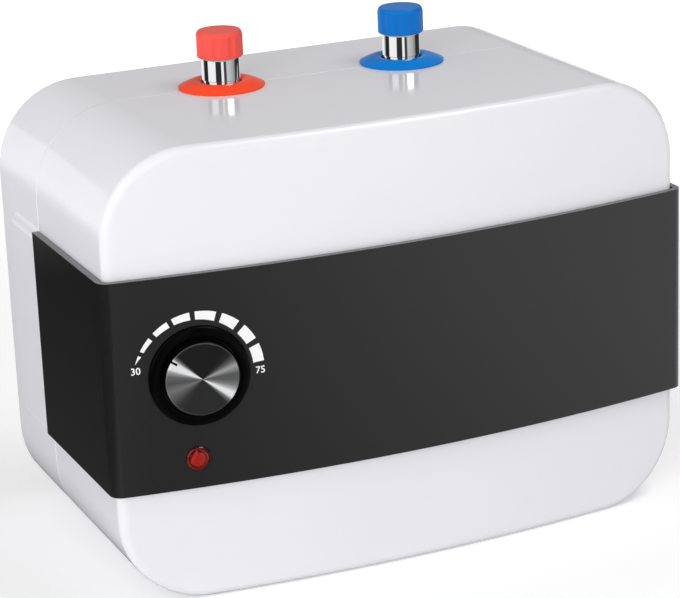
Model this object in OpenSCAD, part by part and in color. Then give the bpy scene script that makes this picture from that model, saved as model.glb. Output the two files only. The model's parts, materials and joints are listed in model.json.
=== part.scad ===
// Compact electric water heater for a sink: a white housing in two halves with a bowed front,
// a dark control band wrapped round three sides, capped pipe stubs on top, and the tank,
// heater and controls inside. The front faces -Y, +Z is up and the origin is the middle of the base.

/* [Housing] */
// Width of the housing
body_w = 332; // [310:1:360]
// Height of the housing
body_h = 246; // [236:1:280]
// Depth from the front corners to the back
body_d = 175; // [168:1:200]
// How far the front bows out in its middle
front_bow = 14; // [9:0.5:22]
// Radius of the four long corners
corner_r = 47; // [40:0.5:55]
// Radius of the front edge
front_edge_r = 4.8; // [4:0.1:7]
// Radius of the rear edge
rear_edge_r = 2.6; // [1:0.1:5]
// Wall of the housing
wall = 3; // [2.6:0.1:3.6]
// Depth of the front half, measured from the front corners
front_half_d = 106; // [98:1:114]
// Bevel of both rims, which leaves a fine groove at the parting line
rim_bevel = 0.4; // [0.2:0.1:0.8]
// Overlap of the lip that locates the two halves
lip_depth = 3; // [2:0.1:5]

/* [Control band] */
// Height of the band's lower edge
band_z = 64.5; // [60:0.5:68]
// Height of the band
band_h = 116; // [108:0.5:122]
// How far the band stands proud of the housing
band_proud = 4; // [3.6:0.1:6]
// Wall of the band
band_wall = 2.4; // [2:0.1:3]
// Radius of the band's two upright front corners
band_corner_r = 7; // [4:0.5:8]
// Length of the raised side pad that continues the band behind the parting line
pad_l = 45; // [35:1:60]
// Slope of the pad's upper, lower and rear edges
pad_bevel = 3; // [1:0.5:5]

/* [Dial and lamp] */
// Distance of the knob from the housing's left side
dial_side = 44.5; // [39:0.5:53]
// Height of the knob
dial_z = 126; // [112:1:132]
// Outer diameter of the knob's bezel
bezel_d = 53.6; // [48:0.1:56]
// Height of the bezel
bezel_h = 2.6; // [2:0.1:4]
// Diameter of the knob
knob_d = 40.6; // [36:0.1:43]
// Height of the knob's face above the band
knob_h = 6.5; // [6:0.5:12]
// Direction of the pointer at rest, anticlockwise from the right
pointer_deg = 144; // [90:1:164]
// Diameter of the thermostat's shaft
shaft_d = 6; // [5:0.5:8]
// Spacing of the two thermostat screws
thermostat_pitch = 28; // [26:0.5:29]
// Width of the thermostat
thermostat_w = 34; // [30:1:36]
// Height of the thermostat
thermostat_h = 42; // [36:1:48]
// Depth of the thermostat behind its plate
thermostat_d = 26; // [20:1:30]
// Distance of the lamp from the housing's left side
lamp_side = 41.5; // [35:0.5:49]
// Height of the lamp
lamp_z = 81; // [78:0.5:84]
// Diameter of the lamp's rim
lamp_d = 13; // [11:0.1:14]

/* [Pipe stubs] */
// Spacing of the two stubs
stub_pitch = 109; // [100:0.5:114]
// Offset of the pair from the middle
stub_shift = -1.8; // [-5:0.1:0]
// Outside diameter of a stub, the crest of a half inch pipe thread
stub_d = 20.955; // [20.5:0.005:21.4]
// Bore of a stub
stub_bore = 15; // [13:0.1:16]
// Length of stub that shows below the cap
stub_show = 17; // [13:0.5:20]
// Diameter of a cap
cap_d = 25.5; // [25.2:0.1:28]
// Height of a cap
cap_h = 14.5; // [13:0.5:20]
// Thickness of the cap's top
cap_roof = 2; // [1.5:0.1:3]
// Number of flutes round a cap
cap_flutes = 9; // [6:1:12]
// Diameter of a rosette
rosette_d = 47.5; // [40:0.5:54]
// Height of a rosette at its hole
rosette_h = 4; // [2.4:0.1:5]

/* [Tank] */
// Width of the control space left of the tank
service_w = 70; // [68:1:76]
// Insulation at the right end of the tank
foam_end = 12; // [9:0.5:16]
// Insulation above and below the tank
foam_level = 19; // [17:0.5:24]
// Insulation in front of the tank
foam_front = 10.5; // [9:0.5:14]
// Insulation behind the tank
foam_back = 14; // [13.5:0.5:18]
// Radius of the tank's four long corners
tank_r = 40; // [32:1:42]
// Radius of the tank's end edges
tank_end_r = 28; // [20:1:30]
// Sheet of the tank
tank_wall = 1.5; // [1:0.1:2]
// Width of the welded seam's lip
seam_lip = 2.5; // [2:0.1:4]
// Height of the service flange
flange_z = 104; // [100:1:120]
// Diameter of the service flange
flange_d = 83; // [80:1:84]
// Diameter of the circle of studs
stud_circle_d = 70; // [68:0.5:72]
// Number of studs
stud_count = 6; // [4:1:6]
// Diameter of a stud
stud_bolt_d = 6; // [5:0.5:6]
// Diameter of the tank's service opening
opening_d = 54; // [53:0.5:56]
// Reach of the heating element into the tank
element_reach = 190; // [120:1:200]
// Diameter of the heating element
element_d = 8.5; // [6.5:0.5:9]
// Half the spacing of the element's two legs
element_bend_r = 13; // [12:0.5:14]
// Length of the anode
anode_l = 110; // [60:1:120]
// Diameter of the anode
anode_d = 16; // [12:0.5:17]
// Length of the sensor pocket
pocket_l = 100; // [80:1:110]
// Outside diameter of the sensor pocket
pocket_d = 10; // [8:0.5:11]
// Height of the dip tube's end above the tank's floor
dip_gap = 20; // [15:1:40]

/* [Back] */
// Height of the wall hanger's middle
hanger_z = 190; // [180:1:194]
// Width of the wall hanger
hanger_w = 206; // [196:1:216]
// Height of the wall hanger
hanger_h = 46; // [42:1:50]
// Sheet of the wall hanger
hanger_t = 2; // [1.5:0.1:2.5]
// How far the hanger lies below the back
hanger_drop = 0.3; // [0.2:0.1:0.5]
// Depth of the pocket for the wall screws' heads
hanger_pocket = 6; // [5:0.5:6.5]
// Spacing of the two keyholes
keyhole_pitch = 150; // [120:1:156]
// Diameter of a keyhole's entry
keyhole_d = 12; // [10:0.5:13]
// Width of a keyhole's slot
keyhole_slot = 6; // [5:0.5:7]
// Distance of the cord entry from the housing's left side
gland_side = 40; // [33:1:47]
// Height of the cord entry
gland_z = 34; // [30:1:40]
// Bore of the cord gland
gland_bore = 7.6; // [6:0.1:8.6]

/* [Hidden] */

$fn = 48;
corner_steps = 12;
front_steps = 12;
tank_corner_steps = 8;
tank_fillet_steps = 6;
// Gap that is left where a piece lies on a curved seat
seat_gap = 0.3;
// Gap round a piece that drops into a hole or a pocket
drop_gap = 0.5;
// Gap between a shaft, a screw or a stud and its hole
shaft_gap = 0.25;
// Distance that a cutter runs past the face it opens
past = 1;

white = [0.93, 0.93, 0.95];
black = [0.14, 0.14, 0.15];
chrome = [0.8, 0.81, 0.83];
red = [0.93, 0.28, 0.2];
blue = [0.05, 0.42, 0.78];
steel = [0.66, 0.67, 0.69];
brass = [0.78, 0.64, 0.36];
foam = [0.9, 0.88, 0.8];

half_w = body_w / 2;
dial_x = dial_side - half_w;
lamp_x = lamp_side - half_w;
gland_x = gland_side - half_w;
front_y = -body_d / 2;
back_y = body_d / 2;
part_y = front_y + front_half_d;
bow_r = (half_w * half_w + front_bow * front_bow) / (2 * front_bow);
bow_y0 = front_y + bow_r - front_bow;

// Depth of the bowed front at x, or of a surface that stands out from it
function bow_y(x, out = 0) = bow_y0 - sqrt(pow(bow_r + out, 2) - x * x);

// Rounded rectangle, clockwise from the left side, with its lower half a mirror of its upper half
function outline(w, h, r, steps, mid) =
    let (cx = w / 2 - r, cz = h / 2 - r,
        rise = [for (i = [0:steps]) [-cx - r * cos(90 * i / steps), cz + r * sin(90 * i / steps)]],
        flat = [for (i = [1:1:mid]) [-cx + 2 * cx * i / (mid + 1), cz + r]],
        fall = [for (i = [steps:-1:0]) [-rise[i].x, rise[i].y]],
        upper = concat(rise, flat, fall))
    concat(upper, [for (i = [len(upper) - 1:-1:0]) [upper[i].x, -upper[i].y]]);

// Insets and drops of a quarter round edge, from the face to the side
function quarter(r, steps) =
    [for (i = [0:steps]) let (a = 90 * i / steps) [r * (1 - sin(a)), r * (1 - cos(a))]];

// Outline of the housing, inset all round
function body_ring(inset) = outline(body_w - 2 * inset, body_h - 2 * inset, corner_r - inset,
    corner_steps, front_steps);
function flat_ring(inset, y) = [for (p = body_ring(inset)) [p.x, y, p.y + body_h / 2]];
function bowed_ring(inset, drop) =
    [for (p = body_ring(inset)) [p.x, bow_y(p.x) + drop, p.y + body_h / 2]];

// The housing's outline, drawn in by an inset, as a slab from one y to another
module body_slab(inset, y_a, y_b) {
    translate([0, y_b, body_h / 2])
        rotate([90, 0, 0])
            linear_extrude(y_b - y_a)
                polygon(body_ring(inset));
}

// A tray as one skin through a row of rings, its first and last rings closed by strips across them
module tray(rings, turned = false) {
    n = len(rings[0]);
    half = n / 2;
    last = (len(rings) - 1) * n;
    sides = [for (k = [0:len(rings) - 2], i = [0:n - 1])
        let (a = k * n + i, b = k * n + (i + 1) % n)
        each [[a, a + n, b + n], [a, b + n, b]]];
    caps = [for (i = [0:half - 2])
        each [[i, i + 1, n - 2 - i], [i, n - 2 - i, n - 1 - i],
            [last + n - 1 - i, last + n - 2 - i, last + i + 1], [last + n - 1 - i, last + i + 1, last + i]]];
    faces = concat(sides, caps);
    points = [for (ring = rings) each ring];
    polyhedron(points, turned ? [for (f = faces) [f[2], f[1], f[0]]] : faces);
}

// Places children on the band's face, with their z axis square out of it
module on_band(x, z) {
    translate([x, bow_y(x, band_proud), z])
        rotate([0, 0, asin(x / (bow_r + band_proud))])
            rotate([90, 0, 0])
                children();
}

module on_dial() {
    on_band(dial_x, dial_z) children();
}

module on_lamp() {
    on_band(lamp_x, lamp_z) children();
}

// Turns children so that their z axis points along +Y or +X
module along_y() {
    rotate([-90, 0, 0]) children();
}

module along_x() {
    rotate([0, 90, 0]) children();
}

module ring(r_out, r_in, h) {
    difference() {
        cylinder(r = r_out, h = h);
        translate([0, 0, -past]) cylinder(r = r_in, h = h + 2 * past);
    }
}

// A pan head screw whose head stands on z = 0 and whose shank goes down from it
module pan_screw(shank_d, shank_l, head_d, head_h) {
    cross_w = head_d / 7;
    translate([0, 0, -shank_l]) cylinder(d = shank_d, h = shank_l);
    difference() {
        cylinder(d = head_d, h = head_h);
        for (a = [0, 90])
            rotate([0, 0, a])
                translate([-head_d * 0.32, -cross_w / 2, head_h * 0.5])
                    cube([head_d * 0.64, cross_w, head_h]);
    }
}

// A countersunk screw along -Z, with the flat of its head at the origin
module flat_screw(shank_d, shank_l, head_d, head_h) {
    cross_w = head_d / 7;
    difference() {
        union() {
            translate([0, 0, -shank_l]) cylinder(d = shank_d, h = shank_l - head_h / 2);
            translate([0, 0, -head_h]) cylinder(d1 = shank_d, d2 = head_d, h = head_h);
        }
        for (a = [0, 90])
            rotate([0, 0, a])
                translate([-head_d * 0.32, -cross_w / 2, -head_h * 0.5])
                    cube([head_d * 0.64, cross_w, head_h]);
    }
}

// A round lead or tube swept along points, on a smooth curve through them
function spline(p, k, t) =
    let (a = p[max(k - 1, 0)], b = p[k], c = p[k + 1], d = p[min(k + 2, len(p) - 1)])
    0.5 * (2 * b + (c - a) * t + (2 * a - 5 * b + 4 * c - d) * t * t + (3 * b - a - 3 * c + d) * t * t * t);
function unit(v) = v / norm(v);

module tube_along(route, d, sides = 8, steps = 3) {
    path = concat([for (k = [0:len(route) - 2], s = [0:steps - 1]) spline(route, k, s / steps)],
        [route[len(route) - 1]]);
    end = len(path) - 1;
    aside = [0.31, 0.57, 0.76];
    rings = [for (i = [0:end])
        let (t = unit(path[min(i + 1, end)] - path[max(i - 1, 0)]),
            u = unit(cross(t, aside)), v = cross(t, u))
        [for (j = [0:sides - 1]) path[i] + d / 2 * (u * cos(360 * j / sides) + v * sin(360 * j / sides))]];
    points = [for (r = rings) each r];
    skin = [for (i = [0:end - 1], j = [0:sides - 1])
        let (a = i * sides + j, b = i * sides + (j + 1) % sides)
        each [[a, a + sides, b + sides], [a, b + sides, b]]];
    ends = [for (j = [1:sides - 2])
        each [[0, j, j + 1], [end * sides, end * sides + j + 1, end * sides + j]]];
    polyhedron(points, concat(skin, ends));
}

// Housing joints

boss_r = 5.4;
boss_l = 24;
boss_reach = corner_r - wall - boss_r + 0.9;
// Room left below the lip in its groove
lip_room = 1;
// Two bosses meet in front of the parting line, level with the groove's floor
boss_meet_y = part_y - lip_depth - lip_room;
screw_head_r = 3.6;
screw_shank_r = 1.95;
screw_floor = 8;
lip_gap = 0.2;
lip_in = (wall + lip_gap) / 2;

module at_bosses() {
    for (sx = [-1, 1], sz = [-1, 1])
        translate([sx * (half_w - corner_r + boss_reach * cos(45)), 0,
            body_h / 2 + sz * (body_h / 2 - corner_r + boss_reach * sin(45))])
            children();
}

stub_xs = [stub_shift - stub_pitch / 2, stub_shift + stub_pitch / 2];
rosette_neck_r = stub_d / 2 + 2.2;

module stub_holes() {
    for (x = stub_xs)
        translate([x, part_y, body_h - corner_r / 2])
            cylinder(r = rosette_neck_r + shaft_gap, h = corner_r);
}

// Snap hooks of the band, and their slots when grown
hook_w = 12;
hook_t = 3;
hook_inset = 14;
hook_xs = [-0.39 * half_w, 0.12 * half_w, 0.63 * half_w];

module at_hooks() {
    for (x = hook_xs, up = [-1, 1])
        translate([x, bow_y(x), band_z + band_h / 2 + up * (band_h / 2 - hook_inset)])
            mirror([0, 0, up < 0 ? 1 : 0])
                children();
}

module front_shell() {
    inner_r = max(front_edge_r - wall, 0.6);
    outer_edge = quarter(front_edge_r, 5);
    inner_edge = quarter(inner_r, 2);
    rings = concat(
        [for (q = outer_edge) bowed_ring(q[0], q[1])],
        [flat_ring(0, part_y - rim_bevel), flat_ring(rim_bevel, part_y),
            flat_ring(lip_in - lip_gap / 2, part_y), flat_ring(lip_in - lip_gap / 2, boss_meet_y),
            flat_ring(wall, boss_meet_y)],
        [for (i = [len(inner_edge) - 1:-1:0]) bowed_ring(wall + inner_edge[i][0], wall + inner_edge[i][1])]);
    color(white)
        difference() {
            union() {
                tray(rings);
                at_bosses()
                    translate([0, boss_meet_y - boss_l, 0])
                        along_y()
                            cylinder(r = boss_r, h = boss_l);
            }
            stub_holes();
            at_bosses()
                translate([0, boss_meet_y - boss_l + 3, 0])
                    along_y()
                        cylinder(r = screw_shank_r + 0.1, h = boss_l);
            on_dial() translate([0, 0, -dial_boss_l - past]) cylinder(r = dial_boss_r + 1, h = dial_boss_l);
            on_lamp() translate([0, 0, -4 * wall]) cylinder(r = lamp_tube_r + shaft_gap, h = 4 * wall);
            at_hooks()
                translate([-hook_w / 2 - drop_gap, -past, -hook_t / 2 - drop_gap])
                    cube([hook_w + 2 * drop_gap, wall + 3 * past, hook_t + hook_barb + 2 * drop_gap]);
        }
}

hook_barb = 1.4;
hook_reach = wall + 4;

// Raised side pads, grown outwards or shrunk by a wall for the hollow behind them
module side_pads(shrink, proud) {
    base = 0.6;
    for (sx = [-1, 1])
        scale([sx, 1, 1])
            hull() {
                translate([half_w - wall + base, part_y, band_z + shrink])
                    cube([0.01, pad_l - shrink, band_h - 2 * shrink]);
                translate([half_w, part_y, band_z + shrink])
                    cube([0.01, pad_l - shrink, band_h - 2 * shrink]);
                translate([half_w + proud, part_y, band_z + shrink + pad_bevel])
                    cube([0.01, pad_l - shrink - 2 * pad_bevel, band_h - 2 * shrink - 2 * pad_bevel]);
            }
}

hanger_box_w = hanger_w + 6;
hanger_box_h = hanger_h + 6;
hanger_floor = 2;
hanger_lip = 5;
hanger_box_d = hanger_drop + hanger_t + hanger_pocket + hanger_floor;
hanger_screw_x = hanger_w / 2 - 5;
hanger_screw_z = hanger_h / 2 - 9;
hanger_screw_r = 1.35;
hanger_head_r = 2.7;
hanger_head_h = 1.4;
hanger_rim = 11;

gland_cup_r = 13;
gland_depth = 12;
gland_wall = 2.4;
gland_hole_r = gland_bore / 2 + 2;
channel_w = 12;

// Cord recess: a round cup in the back with a channel down to the base
module cord_recess(grow, depth) {
    translate([gland_x, back_y - depth, gland_z]) along_y() cylinder(r = gland_cup_r + grow, h = depth);
    translate([gland_x - channel_w / 2 - grow, back_y - depth, 0])
        cube([channel_w + 2 * grow, depth, gland_z]);
}

module rear_shell() {
    inner_r = max(rear_edge_r - wall, 0.6);
    outer_edge = quarter(rear_edge_r, 3);
    inner_edge = quarter(inner_r, 2);
    rings = concat(
        [for (q = outer_edge) flat_ring(q[0], back_y - q[1])],
        [flat_ring(0, part_y + rim_bevel), flat_ring(rim_bevel, part_y),
            flat_ring(lip_in + lip_gap / 2, part_y), flat_ring(lip_in + lip_gap / 2, part_y - lip_depth),
            flat_ring(wall, part_y - lip_depth)],
        [for (i = [len(inner_edge) - 1:-1:0])
            flat_ring(wall + inner_edge[i][0], back_y - wall - inner_edge[i][1])]);
    color(white)
        difference() {
            union() {
                tray(rings, true);
                side_pads(0, band_proud);
                at_bosses()
                    translate([0, boss_meet_y, 0])
                        along_y()
                            cylinder(r = boss_r, h = back_y - wall / 2 - boss_meet_y);
                translate([-hanger_box_w / 2, back_y - hanger_box_d, hanger_z - hanger_box_h / 2])
                    cube([hanger_box_w, hanger_box_d - wall / 2, hanger_box_h]);
                intersection() {
                    cord_recess(gland_wall, gland_depth + gland_wall);
                    body_slab(wall / 2, part_y, back_y - wall / 2);
                }
            }
            stub_holes();
            side_pads(band_wall, band_proud - band_wall);
            at_bosses()
                translate([0, boss_meet_y + screw_floor, 0])
                    along_y()
                        cylinder(r = screw_head_r + shaft_gap, h = back_y);
            at_bosses()
                translate([0, boss_meet_y - past, 0])
                    along_y()
                        cylinder(r = screw_shank_r + shaft_gap, h = back_y);
            translate([-hanger_w / 2 - shaft_gap, back_y - hanger_drop - hanger_t,
                hanger_z - hanger_h / 2 - shaft_gap])
                cube([hanger_w + 2 * shaft_gap, hanger_drop + hanger_t + past, hanger_h + 2 * shaft_gap]);
            translate([-hanger_w / 2 + hanger_rim, back_y - hanger_box_d + hanger_floor,
                hanger_z - hanger_h / 2 + hanger_lip])
                cube([hanger_w - 2 * hanger_rim, hanger_box_d, hanger_h - 2 * hanger_lip]);
            at_hanger_screws()
                along_y()
                    translate([0, 0, -hanger_pocket])
                        cylinder(r = hanger_screw_r + 0.05, h = hanger_pocket + past);
            translate([0, past, -past]) cord_recess(0, gland_depth + past);
            translate([gland_x, back_y - gland_depth - 2 * gland_wall, gland_z])
                along_y()
                    cylinder(r = gland_hole_r + shaft_gap, h = gland_depth);
        }
}

// Control band

dial_boss_r = 21;
dial_boss_l = band_proud + wall + 1.4;
dial_seat = 0.5;
bush_r = shaft_d / 2 + 2;
lamp_tube_r = lamp_d / 2 - 1.4;
lamp_seat = 0.4;

// One side of the band in plan: the side, the rounded corner and the bow as far as the middle
function band_side(out, r) =
    let (x_c = half_w + out - r,
        y_c = bow_y0 - sqrt(pow(bow_r + out - r, 2) - x_c * x_c),
        a_end = asin(x_c / (bow_r + out - r)),
        corner_steps = 6,
        bow_steps = 14)
    concat([[half_w + out, part_y]],
        [for (i = [0:corner_steps])
            let (a = (90 - a_end) * i / corner_steps)
            [x_c + r * cos(a), y_c - r * sin(a)]],
        [for (i = [1:bow_steps - 1])
            let (a = a_end * (1 - i / bow_steps))
            [(bow_r + out) * sin(a), bow_y0 - (bow_r + out) * cos(a)]]);

// Whole plan of the band's skin between two offsets from the housing
function band_plan(out_a, r_a, out_b, r_b) =
    let (right_a = band_side(out_a, r_a), right_b = band_side(out_b, r_b),
        mid_a = [[0, bow_y(0, out_a)]], mid_b = [[0, bow_y(0, out_b)]],
        left_a = [for (i = [len(right_a) - 1:-1:0]) [-right_a[i].x, right_a[i].y]],
        left_b = [for (i = [len(right_b) - 1:-1:0]) [-right_b[i].x, right_b[i].y]],
        line_b = concat(right_b, mid_b, left_b))
    concat(right_a, mid_a, left_a, [for (i = [len(line_b) - 1:-1:0]) line_b[i]]);

module control_band() {
    inner_corner_r = 3;
    color(black)
        difference() {
            union() {
                difference() {
                    translate([0, 0, band_z])
                        linear_extrude(band_h)
                            polygon(band_plan(band_proud, band_corner_r, seat_gap, inner_corner_r));
                    translate([0, 0, band_z + band_wall])
                        linear_extrude(band_h - 2 * band_wall)
                            intersection() {
                                polygon(band_plan(band_proud - band_wall, band_corner_r - 1, -wall,
                                    inner_corner_r));
                                translate([-body_w, front_y - body_d])
                                    square([2 * body_w, body_d + front_half_d - band_wall]);
                            }
                }
                on_dial()
                    translate([0, 0, -dial_boss_l])
                        cylinder(r = dial_boss_r, h = dial_boss_l - band_wall / 2);
                on_lamp()
                    translate([0, 0, -band_proud + seat_gap])
                        cylinder(r = lamp_d / 2 + 2, h = band_proud - seat_gap - band_wall / 2);
                at_hooks() {
                    translate([-hook_w / 2, -band_proud + band_wall / 2, -hook_t / 2])
                        cube([hook_w, band_proud - band_wall / 2 + hook_reach, hook_t]);
                    translate([-hook_w / 2, 0, hook_t / 2])
                        rotate([90, 0, 90])
                            linear_extrude(hook_w)
                                polygon([[wall + 2 * seat_gap, 0], [hook_reach, 0],
                                    [wall + 2 * seat_gap, hook_barb]]);
                }
            }
            on_dial() {
                translate([0, 0, -dial_seat]) cylinder(d = bezel_d + 2 * shaft_gap, h = dial_seat + 2 * past);
                translate([0, 0, -dial_boss_l - past])
                    cylinder(r = bush_r + drop_gap, h = dial_boss_l + 2 * past);
                at_thermostat_screws()
                    translate([0, 0, -dial_boss_l - past])
                        cylinder(r = thermostat_screw_r + shaft_gap, h = dial_boss_l + 2 * past);
            }
            on_lamp() {
                translate([0, 0, -lamp_seat]) cylinder(d = lamp_d + 2 * shaft_gap, h = lamp_seat + past);
                translate([0, 0, -band_proud - past])
                    cylinder(r = lamp_tube_r + shaft_gap, h = band_proud + 2 * past);
            }
        }
}

// Dial

bezel_in_r = knob_d / 2 + 0.6;

module dial_bezel() {
    r_out = bezel_d / 2;
    crown_r = bezel_in_r + 1.6;
    lip = 0.6;
    color(black)
        on_dial()
            rotate_extrude($fn = 96)
                polygon(concat([[bezel_in_r, -dial_seat], [r_out, -dial_seat], [r_out, lip]],
                    [for (i = [1:8]) [crown_r + (r_out - crown_r) * cos(90 * i / 8),
                        lip + (bezel_h - lip) * sin(90 * i / 8)]],
                    [[bezel_in_r + 0.5, bezel_h - 0.2], [bezel_in_r, bezel_h - 0.8]]));
}

knob_r = knob_d / 2;
face_t = 0.8;
face_r = knob_r - 0.8;
knob_foot = 0.6;
knob_floor = 1.8;
hub_r = shaft_d / 2 + 2.6;
flat_off = shaft_d / 2 - 1.4;
shaft_top = knob_h - face_t - 1.4;

module d_section(r, off, h) {
    difference() {
        cylinder(r = r, h = h);
        translate([off, -2 * r, -past]) cube([2 * r, 4 * r, h + 2 * past]);
    }
}

module knob_body() {
    knob_wall = 2.2;
    top = knob_h - face_t - knob_floor;
    color(black)
        on_dial()
            difference() {
                rotate_extrude($fn = 96)
                    polygon([[0, knob_foot], [knob_r, knob_foot], [knob_r, knob_h - 1.6],
                        [knob_r - 0.25, knob_h - 0.5], [face_r + 0.1, knob_h - 0.1],
                        [face_r + 0.1, knob_h - face_t], [0, knob_h - face_t]]);
                translate([0, 0, knob_foot - past])
                    ring(knob_r - knob_wall, hub_r, top - knob_foot + past);
                translate([0, 0, knob_foot - past])
                    d_section(shaft_d / 2 + 0.08, flat_off + 0.08, shaft_top + 0.2 - knob_foot + past);
            }
}

module knob_face() {
    notch_l = 3.7;
    notch_w = 1.25;
    color(steel)
        on_dial()
            translate([0, 0, knob_h - face_t])
                difference() {
                    rotate_extrude($fn = 96)
                        polygon([[0, 0], [face_r, 0], [face_r, face_t - 0.4],
                            [face_r - 0.5, face_t], [0, face_t]]);
                    rotate([0, 0, pointer_deg])
                        translate([face_r - notch_l, -notch_w / 2, -past])
                            cube([notch_l + past, notch_w, face_t + 2 * past]);
                }
}

// Thermostat

thermostat_screw_r = 2;
plate_t = 1.2;
plate_back = dial_boss_l + plate_t;
// Length of shaft inside the thermostat, behind its plate
shaft_grip = 8;
shaft_tail = plate_back + shaft_grip;

module at_thermostat_screws() {
    for (sx = [-1, 1]) translate([sx * thermostat_pitch / 2, 0, 0]) children();
}

module thermostat_shaft() {
    color(steel)
        on_dial()
            union() {
                translate([0, 0, -shaft_tail]) cylinder(d = shaft_d, h = shaft_tail + knob_foot);
                translate([0, 0, knob_foot]) d_section(shaft_d / 2, flat_off, shaft_top - knob_foot);
            }
}

tab_l = 7;
tab_x = -9.6;
tab_inset = 8;

module thermostat_body() {
    plate_w = thermostat_pitch + 10;
    tab_w = 6.3;
    tab_t = 0.8;
    color([0.75, 0.72, 0.66])
        on_dial()
            difference() {
                union() {
                    translate([-plate_w / 2, -thermostat_h / 2 + 4, -plate_back])
                        cube([plate_w, thermostat_h - 8, plate_t]);
                    translate([-thermostat_w / 2, -thermostat_h / 2, -plate_back - thermostat_d])
                        cube([thermostat_w, thermostat_h, thermostat_d]);
                    translate([0, 0, -plate_back]) cylinder(r = bush_r, h = plate_back - 2);
                    for (sy = [-1, 1])
                        translate([tab_x - tab_t / 2, sy * (thermostat_h / 2 - tab_inset) - tab_w / 2,
                            -plate_back - thermostat_d - tab_l])
                            cube([tab_t, tab_w, tab_l + past]);
                }
                translate([0, 0, -shaft_tail - shaft_gap])
                    cylinder(d = shaft_d + 2 * shaft_gap, h = shaft_tail + past);
                at_thermostat_screws()
                    translate([0, 0, -plate_back - 6])
                        cylinder(r = thermostat_screw_r + 0.05, h = 6 + plate_t + past);
            }
}

module thermostat_screws() {
    color(steel)
        on_dial()
            at_thermostat_screws()
                translate([0, 0, -dial_seat])
                    pan_screw(2 * thermostat_screw_r, plate_back - dial_seat + 2 * thermostat_screw_r,
                        3.5 * thermostat_screw_r, thermostat_screw_r);
}

// Lamp

lamp_tube_l = dial_boss_l + 8;

module lamp_lens() {
    r = lamp_d / 2;
    dome_r = r - 1.3;
    dome_h = 1.9;
    color([0.75, 0.1, 0.08])
        on_lamp()
            rotate_extrude($fn = 64)
                polygon(concat([[0, -lamp_seat - 2], [lamp_tube_r - 1.2, -lamp_seat - 2],
                    [lamp_tube_r - 1.2, -lamp_tube_l], [lamp_tube_r, -lamp_tube_l],
                    [lamp_tube_r, -lamp_seat], [r, -lamp_seat], [r, 0.7], [r - 0.4, 1.1],
                    [dome_r + 0.3, 1.1], [dome_r, 0.7]],
                    [for (i = [1:8]) [dome_r * cos(90 * i / 8), 0.7 + (dome_h - 0.7) * sin(90 * i / 8)]]));
}

module lamp_body() {
    r = lamp_tube_r - 1.2 - seat_gap;
    glass_l = 9;
    base_l = 4;
    lens_floor = 3;
    color([0.9, 0.6, 0.4])
        on_lamp() {
            translate([0, 0, -lamp_seat - lens_floor - glass_l]) cylinder(r = r - 0.4, h = glass_l);
            translate([0, 0, -lamp_tube_l - base_l])
                cylinder(r = r, h = lamp_tube_l + base_l - lamp_seat - lens_floor - glass_l);
        }
}

module lamp_clip() {
    clip_t = 0.8;
    slit_w = 0.8;
    color(steel)
        on_lamp()
            translate([0, 0, -band_proud - wall - seat_gap - clip_t])
                difference() {
                    cylinder(r = lamp_tube_r + 3.4, h = clip_t);
                    translate([0, 0, -past]) cylinder(r = lamp_tube_r + 0.15, h = clip_t + 2 * past);
                    for (a = [0:60:300])
                        rotate([0, 0, a])
                            translate([0, -slit_w / 2, -past])
                                cube([lamp_tube_r + 1.6, slit_w, clip_t + 2 * past]);
                }
}

// Tank

// Radius of a stub below its threaded length, and the height where the thread starts
stub_neck_r = stub_d / 2 - 0.6;
thread_z = body_h + rosette_h + 0.6;
tank_x0 = -half_w + wall + service_w;
tank_x1 = half_w - wall - foam_end;
tank_y0 = front_y + wall + foam_front;
tank_y1 = back_y - wall - foam_back;
tank_z0 = wall + foam_level;
tank_z1 = body_h - wall - foam_level;
tank_mid_x = (tank_x0 + tank_x1) / 2;
tank_mid_y = (tank_y0 + tank_y1) / 2;
tank_mid_z = (tank_z0 + tank_z1) / 2;

// Outline of the tank across its length, at x
function tank_ring(inset, x) =
    [for (p = outline(tank_y1 - tank_y0 - 2 * inset, tank_z1 - tank_z0 - 2 * inset, tank_r - inset,
        tank_corner_steps, 0)) [x, tank_mid_y + p.x, tank_mid_z + p.y]];

// A deep drawn cup from its end at x_end to the seam in the middle, with the seam's lip
module tank_cup(x_end, turned) {
    s = sign(tank_mid_x - x_end);
    outer_edge = quarter(tank_end_r, tank_fillet_steps);
    inner_edge = quarter(tank_end_r - tank_wall, tank_fillet_steps);
    lip_x = tank_mid_x - s * tank_wall;
    tray(concat(
        [for (q = outer_edge) tank_ring(q[0], x_end + s * q[1])],
        [tank_ring(0, lip_x), tank_ring(-seam_lip, lip_x), tank_ring(-seam_lip, tank_mid_x),
            tank_ring(tank_wall, tank_mid_x)],
        [for (i = [tank_fillet_steps:-1:0])
            tank_ring(tank_wall + inner_edge[i][0], x_end + s * (tank_wall + inner_edge[i][1]))]), turned);
}

module on_flange() {
    translate([tank_x0, tank_mid_y, flange_z]) children();
}

module at_studs() {
    for (i = [0:stud_count - 1])
        rotate([360 * (i + 0.5) / stud_count, 0, 0])
            translate([0, 0, stud_circle_d / 2])
                children();
}

module stub_well(x) {
    translate([x, part_y, tank_z1 - tank_wall - past])
        cylinder(r = stub_neck_r + seat_gap, h = tank_wall + 2 * past);
}

module tank_left() {
    color(steel)
        difference() {
            tank_cup(tank_x0, true);
            on_flange() translate([-past, 0, 0]) along_x() cylinder(d = opening_d, h = tank_wall + 2 * past);
            stub_well(stub_xs[0]);
        }
}

module tank_right() {
    color(steel)
        difference() {
            tank_cup(tank_x1, false);
            stub_well(stub_xs[1]);
        }
}

// Pipe stubs

stub_top = body_h + stub_show + cap_h - cap_roof;
stub_collar_r = stub_d / 2 + 3.5;
stub_collar_h = 3;
dip_lip_h = 1.6;
dip_lip_r = stub_bore / 2 + 1.1;

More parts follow.
